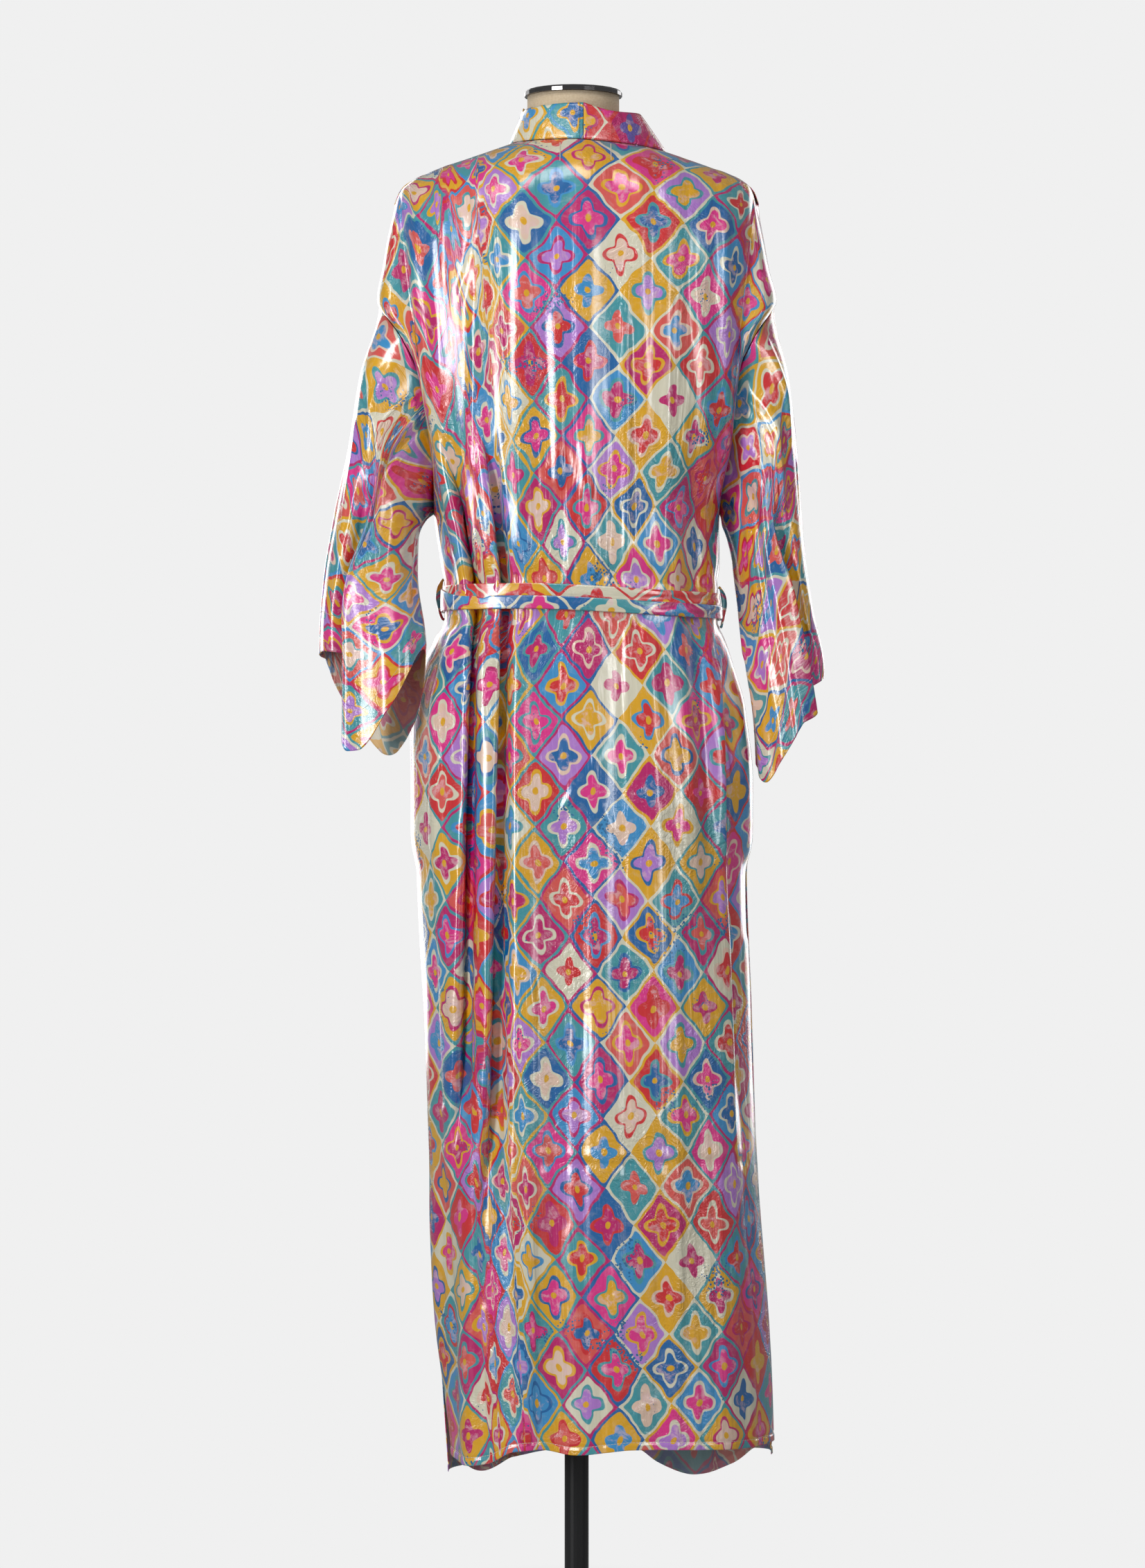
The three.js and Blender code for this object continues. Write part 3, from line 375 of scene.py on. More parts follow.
# Making of a cloth piece
# Each piece is a grid bent to its draft. Its UV map holds the flat cut in metres, so that the print
# lies on the cloth as it was printed before cutting.
THICK = 0.7
LAID = {                  # where the cut of a smaller piece lies on the printed cloth
    "collar_left": (40, 300), "collar_right": (655, 820), "belt_strip": (210, 0), "belt_fold": (620, 130),
    "belt_loop": (100, 0), "belt_tail": (300, 40), "knot": (400, 0),
}
FRONT_APART, SLEEVES_LAID, SLEEVES_APART = 900, 400, 260


def lengths(line):
    """The length along a line at each of its points."""
    return np.append(0, np.cumsum(np.linalg.norm(np.diff(line, axis=0), axis=-1)))


def normals(points, flip=False, ring=False):
    """Outward directions of a grid of points."""
    if ring:
        wide = np.concatenate([points[:, -2:-1], points, points[:, 1:2]], axis=1)
        across = wide[:, 2:] - wide[:, :-2]
    else:
        across = np.gradient(points, axis=1)
    found = np.cross(np.gradient(points, axis=0), across)
    found /= np.maximum(1e-9, np.linalg.norm(found, axis=-1, keepdims=True))
    return -found if flip else found


def cut_map(points, level):
    """The flat cut of a piece: across by its own length at a level row, and up from that row."""
    across = lengths(points[level])
    steps = np.linalg.norm(np.diff(points, axis=0), axis=-1)
    down = np.concatenate([np.zeros((1, points.shape[1])), np.cumsum(steps, axis=0)])
    up = down[level] - down + points[level, :, 2].mean()
    return np.stack([np.broadcast_to(across, up.shape), up], axis=-1)


def cloth(name, points, cut, finishes, flip=False, ring=False, thick=THICK):
    """A thin closed sheet of cloth through a grid of points."""
    rows, columns = points.shape[:2]
    grid = bmesh.new()
    layer = grid.loops.layers.uv.new("cut")
    bmesh.ops.create_grid(grid, x_segments=columns - 1, y_segments=rows - 1, size=0.5)
    places = {}
    for vert in grid.verts:
        place = round((0.5 - vert.co.y) * (rows - 1)), round((vert.co.x + 0.5) * (columns - 1))
        places[vert] = place
        vert.co = points[place] * MM
    for face in grid.faces:
        face.smooth = True
        for loop in face.loops:
            loop[layer].uv = cut[places[loop.vert]] * MM
    if flip:
        bmesh.ops.reverse_faces(grid, faces=grid.faces)
    if ring:
        edge = [vert for vert, place in places.items() if place[1] in (0, columns - 1)]
        bmesh.ops.remove_doubles(grid, verts=edge, dist=1e-6)
    piece = solid(name, grid, *finishes)
    wall = piece.modifiers.new("wall", "SOLIDIFY")
    wall.thickness, wall.offset = thick * MM, -1
    wall.material_offset = len(finishes) - 1
    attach(piece, "root")
    return piece


# Printed satin
# Glossy polyester satin, printed on one side with diamonds that hold a four-petalled flower, painted in
# blotted washes with splashes between them. Its wrong side shows the same print, paler and dull.
DIAMOND = {"width": 57, "height": 73}
MOTIF = {"field": 0.445, "halo": 0.33, "petals": 0.26, "eye": 0.07, "soft": 0.008}
WASHES = {
    "magenta": "#C9006E", "pink": "#EE2A91", "coral": "#DE2228", "salmon": "#E85850", "gold": "#EDB000",
    "teal": "#3F9FAB", "blue": "#0068AE", "sky": "#3798D6", "cream": "#E6E1C8", "peach": "#F0D0BA",
    "lilac": "#BB80DA", "violet": "#6656AE",
}
PRINTS = {
    "body": {
        "field": "magenta teal gold salmon blue cream pink teal coral sky gold lilac",
        "rim": "gold cream teal magenta coral sky cream gold teal magenta blue cream",
        "halo": "gold blue cream coral cream teal magenta peach gold cream teal sky",
        "flower": "coral pink magenta lilac gold salmon blue magenta peach coral sky pink",
    },
    "sky": {
        "field": "blue teal sky blue magenta blue teal sky", "rim": "sky blue cream blue",
        "halo": "magenta cream teal pink", "flower": "pink sky gold cream magenta",
    },
    "pale": {
        "field": "gold teal cream sky gold cream", "rim": "cream gold teal sky",
        "halo": "gold teal cream", "flower": "sky blue teal gold",
    },
    "warm": {
        "field": "coral magenta salmon coral pink coral", "rim": "coral cream magenta coral",
        "halo": "salmon coral magenta", "flower": "violet gold magenta salmon",
    },
    "edge": {
        "field": "coral teal cream salmon gold cream", "rim": "cream coral",
        "halo": "cream coral teal", "flower": "teal gold coral",
    },
}


def washes(tree, order, index):
    """The colour of a cell: its index picks one of the colours in their order."""
    names = order.split()
    turn = add(tree, "ShaderNodeMath", {0: index, 1: float(len(names))}, operation="FLOORED_MODULO")
    share = add(tree, "ShaderNodeMath", {0: turn.outputs[0], 1: 0.5}, operation="ADD")
    place = add(tree, "ShaderNodeMath", {0: share.outputs[0], 1: float(len(names))}, operation="DIVIDE")
    ramp = add(tree, "ShaderNodeValToRGB", {"Fac": place.outputs[0]})
    ramp.color_ramp.interpolation = "CONSTANT"
    stops = ramp.color_ramp.elements
    for i, name in enumerate(names):
        stop = stops[i] if i < 2 else stops.new(i / len(names))
        stop.position = i / len(names)
        stop.color = linear(WASHES[name])
    return ramp.outputs["Color"]


def blend(tree, share, under, over):
    return add(tree, "ShaderNodeMix", {"Factor": share, 6: under, 7: over}, data_type="RGBA").outputs[2]


def satin(name, print_name, pale, **values):
    """Printed satin. Pale is the share of white in the print, as on its wrong side."""
    material, tree, shader = surface(name, **values)

    def maths(operation, *inputs):
        return add(tree, "ShaderNodeMath", dict(enumerate(inputs)), operation=operation).outputs[0]

    def within(value, edge):
        return ranged(tree, value, MOTIF[edge] + MOTIF["soft"], MOTIF[edge] - MOTIF["soft"])

    cut = add(tree, "ShaderNodeTexCoord", {}).outputs["UV"]
    waver = noise(tree, cut, 26.0, detail=2.0)["Color"]
    shift = add(tree, "ShaderNodeVectorMath", {0: waver, 1: (0.5, 0.5, 0.5)}, operation="SUBTRACT")
    drawn = add(tree, "ShaderNodeVectorMath", {0: shift.outputs[0], 1: (0.015, 0.015, 0), 2: cut},
                operation="MULTIPLY_ADD")
    apart = add(tree, "ShaderNodeSeparateXYZ", {0: drawn.outputs[0]})
    across = maths("DIVIDE", apart.outputs["X"], DIAMOND["width"] * MM)
    along = maths("DIVIDE", apart.outputs["Y"], DIAMOND["height"] * MM)
    lines = [maths("ADD", across, along), maths("SUBTRACT", across, along)]
    cells = [maths("FLOOR", line) for line in lines]
    places = [maths("SUBTRACT", maths("FRACT", line), 0.5) for line in lines]
    ring = maths("SMOOTH_MAX", maths("ABSOLUTE", places[0]), maths("ABSOLUTE", places[1]), 0.14)

    # A flower's petals reach to the corners of its diamond: its edge swells by the cosine of four turns
    product = maths("MULTIPLY", *places)
    square = maths("MULTIPLY_ADD", places[0], places[0], maths("MULTIPLY", places[1], places[1]))
    slant = maths("DIVIDE", product, square)
    petal = maths("MULTIPLY_ADD", maths("MULTIPLY", slant, slant), 2.3, 0.71)
    radius = maths("SQRT", square)
    flower = maths("DIVIDE", radius, petal)

    orders = PRINTS[print_name]
    index = maths("MULTIPLY_ADD", cells[1], 5.0, maths("MULTIPLY", cells[0], 3.0))
    other = maths("MULTIPLY_ADD", cells[1], 2.0, maths("MULTIPLY", cells[0], 7.0))
    third = maths("ADD", cells[0], cells[1])
    colour = washes(tree, orders["rim"], third)
    colour = blend(tree, within(ring, "field"), colour, washes(tree, orders["field"], index))
    colour = blend(tree, within(flower, "halo"), colour, washes(tree, orders["halo"], other))

    # The washes dried in blots: clear edged patches where the colour is thin
    blot = noise(tree, cut, 70.0, detail=6.0, roughness=0.7, distortion=0.6)["Fac"]
    painted = blend(tree, ranged(tree, blot, 0.5, 0.62, high=0.5),
                    washes(tree, orders["flower"], maths("ADD", index, other)), linear("#F7C9D2"))
    colour = blend(tree, within(flower, "petals"), colour, painted)
    colour = blend(tree, within(radius, "eye"), colour, linear(WASHES["gold"]))
    colour = blend(tree, ranged(tree, blot, 0.52, 0.75, high=0.22), colour, linear("#F4EBE2"))

    # Splashes of blue paint, 1 to 2 mm wide, in loose groups
    drops = add(tree, "ShaderNodeTexVoronoi", {"Vector": cut, "Scale": 300.0})
    group = noise(tree, cut, 17.0, detail=1.0)["Fac"]
    splash = maths("LESS_THAN", drops.outputs["Distance"], ranged(tree, group, 0.58, 0.7, high=0.42))
    colour = blend(tree, splash, colour, linear("#1B6FA6"))
    colour = blend(tree, pale, colour, linear("#E2D8D0"))
    tree.links.new(colour, shader.inputs["Base Color"])

    # Long drawn ripples, soft dents and the broken lines of a crushed cloth
    stretched = add(tree, "ShaderNodeMapping", {"Vector": cut, "Scale": (95, 8, 1)}).outputs[0]
    long = noise(tree, stretched, 1.0, detail=3.0)["Fac"]
    dents = noise(tree, cut, 34.0, detail=3.0, distortion=0.8)["Fac"]
    crush = noise(tree, cut, 62.0, detail=3.0, roughness=0.6, distortion=1.2)["Fac"]
    line = maths("ABSOLUTE", maths("SUBTRACT", crush, 0.5))
    crushed = ranged(tree, noise(tree, cut, 9.0, detail=2.0)["Fac"], 0.45, 0.62, high=1.6)
    sharp = maths("MULTIPLY", line, crushed)
    relief(tree, shader, maths("MULTIPLY_ADD", dents, 0.5, maths("ADD", long, sharp)), 0.0024, 0.85)
    return material


GLOSS = {"Roughness": 0.27, "Specular_IOR_Level": 1.0, "Coat_Weight": 0.9, "Coat_Roughness": 0.16,
         "Coat_IOR": 1.6}
DULL = {"Roughness": 0.55, "Specular_IOR_Level": 0.4}
right_side = satin("printed_satin", "body", 0.0, **GLOSS)
wrong_side = satin("printed_satin_wrong_side", "body", 0.35, **DULL)
SATIN = (right_side, wrong_side)


# Crumple of the satin
# The robe was packed and hung: long shallow ripples run down it, gathers are caught by the belt, and
# pressed creases and small dents are left where it was folded.
def ripples(x, z, seed, strength=1.0):
    """Long upright waves, each with its own width, height and slow drift."""
    draw = np.random.default_rng(seed)
    depth = np.zeros(np.broadcast(x, z).shape)
    for width in (95, 70, 52, 38, 29, 21, 15):
        turn, drift, pace = draw.uniform(0, 2 * math.pi, 3)
        sway = 9 * np.sin(z / (110 + 60 * drift) + pace)
        swell = 0.6 + 0.4 * np.sin(z / (70 + 20 * pace) + turn)
        depth += width * 0.017 * swell * np.sin(2 * math.pi * (x + sway) / width + turn)
    return depth * strength


def gathers(x, z, at, seed, reach=75, height=1.6):
    """Short upright gathers that start at a line, such as the belt, and die out."""
    draw = np.random.default_rng(seed)
    life = np.exp(-np.abs(z - at) / reach * 2.2)
    depth = np.zeros(np.broadcast(x, z).shape)
    for width in (23, 14, 9):
        turn, tilt = draw.uniform(0, 2 * math.pi), draw.uniform(-0.12, 0.12)
        depth += height * width / 23 * np.sin(2 * math.pi * (x + tilt * (z - at)) / width + turn)
    return depth * life


def creases(x, z, table):
    """Straight creases from one point to another, soft at their ends."""
    depth = np.zeros(np.broadcast(x, z).shape)
    for x1, z1, x2, z2, deep, wide in zip(*table.values()):
        length = math.hypot(x2 - x1, z2 - z1)
        along = ((x - x1) * (x2 - x1) + (z - z1) * (z2 - z1)) / length
        aside = ((x - x1) * (z2 - z1) - (z - z1) * (x2 - x1)) / length
        ends = smooth(along / min(12, length / 3)) * smooth((length - along) / min(12, length / 3))
        depth += deep * ends * bell(aside / wide)
    return depth


CREASE_NAMES = "x1 z1 x2 z2 deep wide"


# Back
# One piece of satin from side seam to side seam, cut nearly straight. Two pleats are caught under the
# belt at the left, and a sharp pressed crease runs down the right half.
BACK_CREASES = chart(
    CREASE_NAMES,
    (51, 1533, 50, 1100, 1.6, 5), (50, 1050, 56, 520, 1.5, 5), (60, 1360, 62, 1120, -1.6, 7),
    (-18, 1552, -2, 1526, 1.2, 4), (36, 1550, 45, 1496, 1.2, 4), (-62, 1486, -105, 1434, 1.8, 6),
    (-105, 1434, -121, 1376, 1.5, 6), (-150, 1450, -141, 1300, 2.0, 8), (-172, 1440, -128, 1110, 2.2, 8),
    (-103, 1390, -108, 1200, 1.6, 7), (-24, 1370, -20, 1180, 2.2, 12), (120, 1420, 124, 1330, 1.2, 6),
    (150, 1470, 155, 1250, 1.4, 7), (-12, 1230, -2, 1180, -1.4, 6), (4, 1240, 12, 1170, 1.4, 6),
    (-35, 1205, -25, 1150, 1.2, 5), (-100, 1420, -70, 1395, -1.2, 6), (130, 1405, 145, 1370, -1.3, 6),
    (-15, 1095, -10, 1290, -0.9, 7), (28, 1100, 33, 1260, 0.9, 6), (95, 1330, 88, 1120, 0.8, 7),
    (-42, 1020, 0, 990, 1.4, 4), (0, 990, -8, 965, -1.2, 5), (-19, 852, 2, 885, 2.2, 5),
    (2, 885, 30, 925, 1.2, 5), (18, 870, 45, 830, 1.3, 4), (104, 945, 112, 880, -1.4, 5),
    (60, 835, 105, 870, 1.0, 4), (92, 840, 124, 770, 1.2, 5), (70, 940, 88, 900, -1.2, 5),
    (8, 800, 14, 760, -1.2, 6), (80, 700, 100, 650, 1.0, 5), (-60, 730, -40, 640, 1.3, 8),
    (-30, 690, 20, 660, 0.9, 5), (-49, 507, 60, 508, 1.3, 3.5), (60, 508, 181, 506, 1.4, 3.5),
    (-49, 500, 181, 500, -1.2, 5), (-157, 546, -123, 552, 1.3, 3.5), (55, 246, 123, 283, 1.2, 4),
    (-10, 440, 5, 300, 0.9, 7), (100, 480, 104, 420, -1.0, 5), (75, 560, 92, 520, 0.9, 5),
    (-95, 360, -88, 260, 1.2, 7), (130, 400, 134, 250, 1.1, 8), (20, 360, 40, 330, -0.8, 5),
    (160, 960, 172, 830, -2.0, 9), (172, 830, 177, 720, -1.6, 9), (-135, 520, -130, 300, 1.5, 8),
)
ROW_COUNTS = {"yoke": 30, "body": 188, "hem": 52}
SHOULDER_END = {"fall": 14, "from": 1440, "run": 59}
HEM_BAND = {"height": 14, "rows": 11, "stitch": 8, "swell": 0.5, "groove": 0.6}
HEM_STITCH_ROW = -7       # the row of a panel's grid that lies at the hem's stitches
BACK_COLUMNS = 178
SEEDS = {"back": 11, "front": 31, "sleeve": 51, "armhole": 61}


def even(points_at, start, end, count):
    """Places along a line whose steps across the cloth are even."""
    fine = np.linspace(start, end, FINE)
    length = lengths(points_at(fine))
    return np.interp(np.linspace(0, length[-1], count), length, fine)


def heights(top, foot):
    """Heights of the rows: round the shoulder, then level, then following the hem."""
    yoke = np.linspace(0, 1, ROW_COUNTS["yoke"], endpoint=False)[:, None]
    level = np.linspace(YOKE, HEM_TURN, ROW_COUNTS["body"], endpoint=False)[:, None]
    turned = 1 - HEM_BAND["height"] / (HEM_TURN - HEM_LEVEL)
    low = np.append(np.linspace(0, turned, ROW_COUNTS["hem"] - HEM_BAND["rows"], endpoint=False),
                    np.linspace(turned, 1, HEM_BAND["rows"]))[:, None]
    return np.concatenate([mix(top, YOKE, 1 - np.cos(yoke * math.pi / 2)), level + 0 * top,
                           mix(HEM_TURN, foot, low)])


LEVEL_ROW = ROW_COUNTS["yoke"] + round((YOKE - LEVEL) / (YOKE - HEM_TURN) * ROW_COUNTS["body"])


def fallen(points, u):
    """The panel with the outer end of its shoulder seam let down, as it falls over the side of the form."""
    near = smooth((points[..., 2] - SHOULDER_END["from"]) / SHOULDER_END["run"])
    points[..., 2] -= SHOULDER_END["fall"] * np.clip(np.abs(u) - 1, 0, 1) * near
    return points


def back_points():
    columns = even(lambda u: body(u, LEVEL, "back"), -2, 2, BACK_COLUMNS)
    top_x = SIDE["kneeX"][0] * np.clip(columns, -1, 1)
    in_neck = (top_x > NECK_SEAM["x"][0]) & (top_x < NECK_SEAM["x"][2])
    top = np.where(in_neck, read(NECK_SEAM, "x", top_x, "z"), ridge(top_x))
    foot = read(HEMS["back"], "x", body(columns, 200, "back")[:, 0], "z")
    return fallen(body(columns, heights(top, foot), "back"), columns)


def crumpled(points, table, seed, flip=False):
    """A panel with its ripples, gathers, creases and turned hem. It is still at its seams and belt."""
    x, z = points[..., 0], points[..., 2]
    columns = np.linspace(0, 1, points.shape[1])
    calm = smooth(columns / 0.03) * smooth((1 - columns) / 0.03)
    calm = calm * smooth((points[0, :, 2].max() - z) / 60)
    depth = ripples(x, z, seed) + creases(x, z, table) + gathers(x, z, WAIST - 4, seed + 1)
    under = smooth((np.abs(z - WAIST + 4) - 14) / 14)
    depth = np.where(depth > 0, depth * under, depth * mix(0.3, 1, under)) * calm
    above = z - points[-1, :, 2] - HEM_BAND["stitch"]
    depth += HEM_BAND["swell"] * smooth(-above / 2) - HEM_BAND["groove"] * bell(above / 2.5)
    return points + normals(points, flip) * depth[..., None]


back_sheet = back_points()
back_crumpled = crumpled(back_sheet, BACK_CREASES, SEEDS["back"])
back = cloth("back_panel", back_crumpled, cut_map(back_sheet, LEVEL_ROW), SATIN)
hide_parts("back")


# Threads
# Polyester sewing thread, matt and slightly thicker than the satin. Lockstitches sink into the cloth at
# their ends, and the hems are stitched 8 mm above their fold.
STITCH = {"length": 2.5, "pitch": 3.2, "width": 0.5, "height": 0.45}


def thread(name, colour):
    """Two-ply thread, whose fine twist dulls its shine."""
    material, tree, shader = surface(name, Base_Color=linear(colour), Roughness=0.6, Sheen_Weight=0.3)
    twist = add(tree, "ShaderNodeTexWave", {"Vector": coordinates(tree), "Scale": 900.0},
                bands_direction="DIAGONAL")
    relief(tree, shader, twist.outputs["Fac"], 0.0002)
    return material


def stitches(name, path, outwards, finish, stitch=STITCH):
    """A row of lockstitches along a path on the cloth, as one joined mesh."""
    steps = lengths(path)
    row = bmesh.new()

    def along(line, place):
        return np.array([np.interp(place, steps, line[:, i]) for i in range(3)])

    for place in np.arange(stitch["pitch"] / 2, steps[-1], stitch["pitch"]):
        ends = [along(path, place + step) for step in (-0.6, 0.6)]
        ahead = Vector(ends[1] - ends[0]).normalized()
        out = Vector(along(outwards, place)).normalized()
        aside = ahead.cross(out).normalized()
        turn = Matrix((ahead, aside, out)).transposed().to_4x4()
        size = Matrix.Diagonal((stitch["length"] * MM, stitch["width"] * MM, stitch["height"] * MM, 1))
        middle = Matrix.Translation(Vector((ends[0] + ends[1]) / 2) * MM)
        made = bmesh.ops.create_cube(row, size=1, matrix=middle @ turn @ size)
        bmesh.ops.bevel(row, geom=list({edge for vert in made["verts"] for edge in vert.link_edges}),
                        offset=0.12 * MM, segments=1, profile=0.5, affect="EDGES", material=-1)
    piece = solid(name, row, finish)
    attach(piece, "root")
    return piece


def hem_stitches(name, points, flip=False):
    stitches(name, points[HEM_STITCH_ROW], normals(points, flip)[HEM_STITCH_ROW], ecru)


ecru, navy = thread("ecru_thread", "#E9DCC8"), thread("navy_thread", "#26304A")
hem_stitches("back_hem_stitches", back_crumpled)

# Two long tacks of thread show under the neck seam
for name, x in (("left", -17), ("right", 35)):
    z = np.linspace(1541, 1525, 9)
    path = body(x / SIDE["kneeX"][0] * np.ones(9), z, "back", 0.3)
    stitches(f"neck_tack_{name}", path, np.tile((0, -1.0, 0), (9, 1)), ecru,
             {"length": 15.6, "pitch": 15.8, "width": 0.9, "height": 0.6})


# Fronts
# Each front runs from its side seam to the seam of the collar band, and the left one crosses over the
# right. Both hang a little lower than the back.
BAND_WIDTH = 48
FRONT_COLUMNS = {"side": 22, "main": 80, "width": 155}
FRONT_CREASES = {
    "left": chart(
        CREASE_NAMES,
        (-120, 1430, -70, 1340, 1.6, 6), (-140, 1400, -118, 1180, 1.8, 8), (-95, 1300, -60, 1180, 1.4, 6),
        (-150, 1480, -110, 1420, 1.2, 5), (-60, 980, -20, 930, 1.2, 5), (-100, 900, -85, 780, -1.4, 7),
        (-40, 820, -10, 740, 1.2, 5), (-150, 507, 10, 505, 1.3, 3.5), (-70, 640, -50, 540, 1.1, 6),
        (-110, 420, -100, 260, 1.2, 7), (-20, 420, 0, 260, 1.0, 7), (-140, 980, -150, 840, 1.4, 8),
        (-30, 1010, -50, 860, 1.0, 6), (-80, 340, -40, 300, 1.0, 4),
    ),
    "right": chart(
        CREASE_NAMES,
        (125, 1440, 84, 1330, 1.6, 6), (148, 1400, 128, 1190, 1.8, 8), (100, 1290, 66, 1170, 1.4, 6),
        (150, 1470, 118, 1430, 1.2, 5), (90, 990, 64, 930, 1.2, 5), (110, 900, 96, 770, -1.4, 7),
        (70, 820, 110, 760, 1.2, 5), (40, 507, 185, 505, 1.3, 3.5), (80, 640, 100, 560, 1.1, 6),
        (130, 430, 140, 250, 1.2, 7), (60, 400, 84, 270, 1.0, 7), (150, 980, 166, 830, 1.4, 8),
    ),
}


def front_edge(hand, z):
    return read(FRONT_EDGE, "z", z, "left" if hand < 0 else "right")


def front(hand, x, z, out=0.0):
    """Points of a front at places across it. The right front passes under the left one."""
    u = (x - read(BODY, "z", z, "centre")) / side_at(z, "front")["kneeX"]
    if hand > 0:
        free = front_edge(-1, z) + BAND_WIDTH
        covered = smooth((free + UNDERLAP["run"] - x) / 24)
        out = out - UNDERLAP["depth"] * covered * smooth((UNDERLAP["top"] - z) / 60)
    return body(u, z, "front", out)


def front_points(hand):
    knee = SIDE["kneeX"][0]
    level = np.array(float(LEVEL))
    width = hand * FRONT_COLUMNS["width"]
    spread = even(lambda c: front(hand, mix(width, front_edge(hand, level), c), level), 0, 1,
                  FRONT_COLUMNS["main"])
    top_x = mix(hand * knee, front_edge(hand, FRONT_EDGE["z"][0]), spread)
    hem_side = read(BODY, "z", HEM_LEVEL, "centre") + hand * read(BODY, "z", HEM_LEVEL, "half")
    foot = read(HEMS["front"], "x", mix(hem_side, front_edge(hand, HEM_LEVEL), spread), "z")
    z = heights(ridge(top_x), foot)
    x = mix(read(BODY, "z", z, "centre") + hand * side_at(z, "front")["kneeX"], front_edge(hand, z), spread)
    main = front(hand, x, z)
    around = even(lambda u: body(u, LEVEL, "front"), 2 * hand, hand, FRONT_COLUMNS["side"])[:-1]
    side_foot = read(HEMS["front"], "x", hem_side * mix(1, 1.04, np.abs(around) - 1), "z")
    shoulder = heights(np.full(len(around), ridge(knee)), side_foot)
    round_side = fallen(body(around, shoulder, "front"), around)
    return np.concatenate([round_side, main], axis=1)


fronts = {}
for name, hand in SIDES:
    fronts[name] = front_points(hand)
    cut = cut_map(fronts[name], LEVEL_ROW)
    cut[..., 0] = FRONT_APART * (1 + (hand > 0)) - hand * cut[..., 0]
    panel = crumpled(fronts[name], FRONT_CREASES[name], SEEDS["front"] + hand, hand < 0)
    piece = cloth(f"front_{name}_panel", panel, cut, SATIN, flip=hand < 0)
    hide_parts(f"front_{name}")
    hem_stitches(f"front_{name}_hem_stitches", panel, hand < 0)


# Pocket bags
# A flat bag of the same satin lies inside each front, and is sewn in at the side seam. One sheet stands
# for both of its layers.
POCKET = {"top": 1000, "bottom": 800, "inner": 62, "inside": -2.6, "clear": 0.4}

for name, hand in SIDES:
    z = np.linspace(POCKET["top"], POCKET["bottom"], 50)[:, None]
    u = np.linspace(2, 1, 16)[None, :] * hand
    bag_side = body(u, z, "front", POCKET["inside"])
    x = mix(bag_side[:, -1:, 0], hand * POCKET["inner"], np.linspace(0, 1, 20)[None, 1:])
    bag = np.concatenate([bag_side, front(hand, x, z, POCKET["inside"])], axis=1)
    bag[:, 0, 1] += POCKET["clear"]
    piece = cloth(f"pocket_{name}_bag", bag, cut_map(bag, 0), (wrong_side,), flip=hand < 0)
    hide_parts(f"pocket_{name}")


# Collar band
# A doubled strip of satin in two halves, joined and topstitched at the centre back. It stands up
# behind the neck, then lies down along both front edges to the hem.
CENTRE_BACK = {"x": 7, "top": 1584, "behind": 57}
BAND_RISE = 39
BAND_TURN = {"top": 1548, "run": 110}    # where the band turns down from the neck to the front
BAND_TOPS = {"left": {"x": -55.5, "z": 1583, "dip": 0}, "right": {"x": 67, "z": 1579, "dip": 5}}


def band_points(name, hand, columns=15, neck_rows=44):
    over = np.linspace(0, 1, columns)
    start = CENTRE_BACK["x"] + hand * SEAM / 2
    end = NECK_SEAM["x"][0 if hand < 0 else 2]
    turn = BAND_TOPS[name]
    t = np.sin(np.linspace(0, math.pi / 2, neck_rows, endpoint=False))
    x = mix(start, end, t)
    foot = body(x / SIDE["kneeX"][0], read(NECK_SEAM, "x", x, "z"), "back") + (0, 0, 3 * SEAM)
    top_z = mix(CENTRE_BACK["top"], turn["z"], t) - turn["dip"] * np.sin(math.pi * t)
    top_y = -CENTRE_BACK["behind"] * np.sqrt(1 - t * t)
    top = np.stack([mix(start, turn["x"], t), top_y, top_z], axis=-1)
    neck = foot[:, None] + (top - foot)[:, None] * over[None, :, None]
    seam = fronts[name][:, -1]
    z = seam[:, 2:3]
    edge = front_edge(hand, z)
    lying_x = edge - hand * (2 * SEAM + over[None] * (BAND_WIDTH - 2 * SEAM))
    lying = front(hand, lying_x, z + 0 * over[None])
    stand = smooth((BAND_TURN["top"] - z) / BAND_TURN["run"])
    neck_top = np.concatenate([mix(turn["x"], seam[:, :1] - hand * 20, stand), seam[:, 1:2],
                               z + BAND_RISE * (1 - stand)], axis=1)
    foot = front(hand, edge - hand * 2 * SEAM, z)
    rising = foot + (neck_top[:, None] - foot) * over[None, :, None]
    down = mix(rising, lying, stand[..., None])
    return np.concatenate([neck, down])


bands = {}
for name, hand, print_name in (("left", -1, "pale"), ("right", 1, "warm")):
    bands[name] = band_points(name, hand)
    band_side = satin(f"printed_satin_{print_name}", print_name, 0.0, **GLOSS)
    cut = cut_map(bands[name], 0)[..., ::-1] + LAID[f"collar_{name}"]
    puff = np.sin(np.linspace(0, math.pi, bands[name].shape[1])) ** 0.5 * 0.5
    swollen = bands[name] + normals(bands[name], hand < 0) * puff[None, :, None]
    piece = cloth(f"collar_{name}_band", swollen, cut, (band_side,), flip=hand < 0, thick=1.6)
    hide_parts(f"collar_{name}")
    if hand < 0:
        outwards = normals(swollen, True)[1]
        stitches("collar_topstitch", swollen[1] + (-1.2, 0, 0) + 0.2 * outwards, outwards, navy)


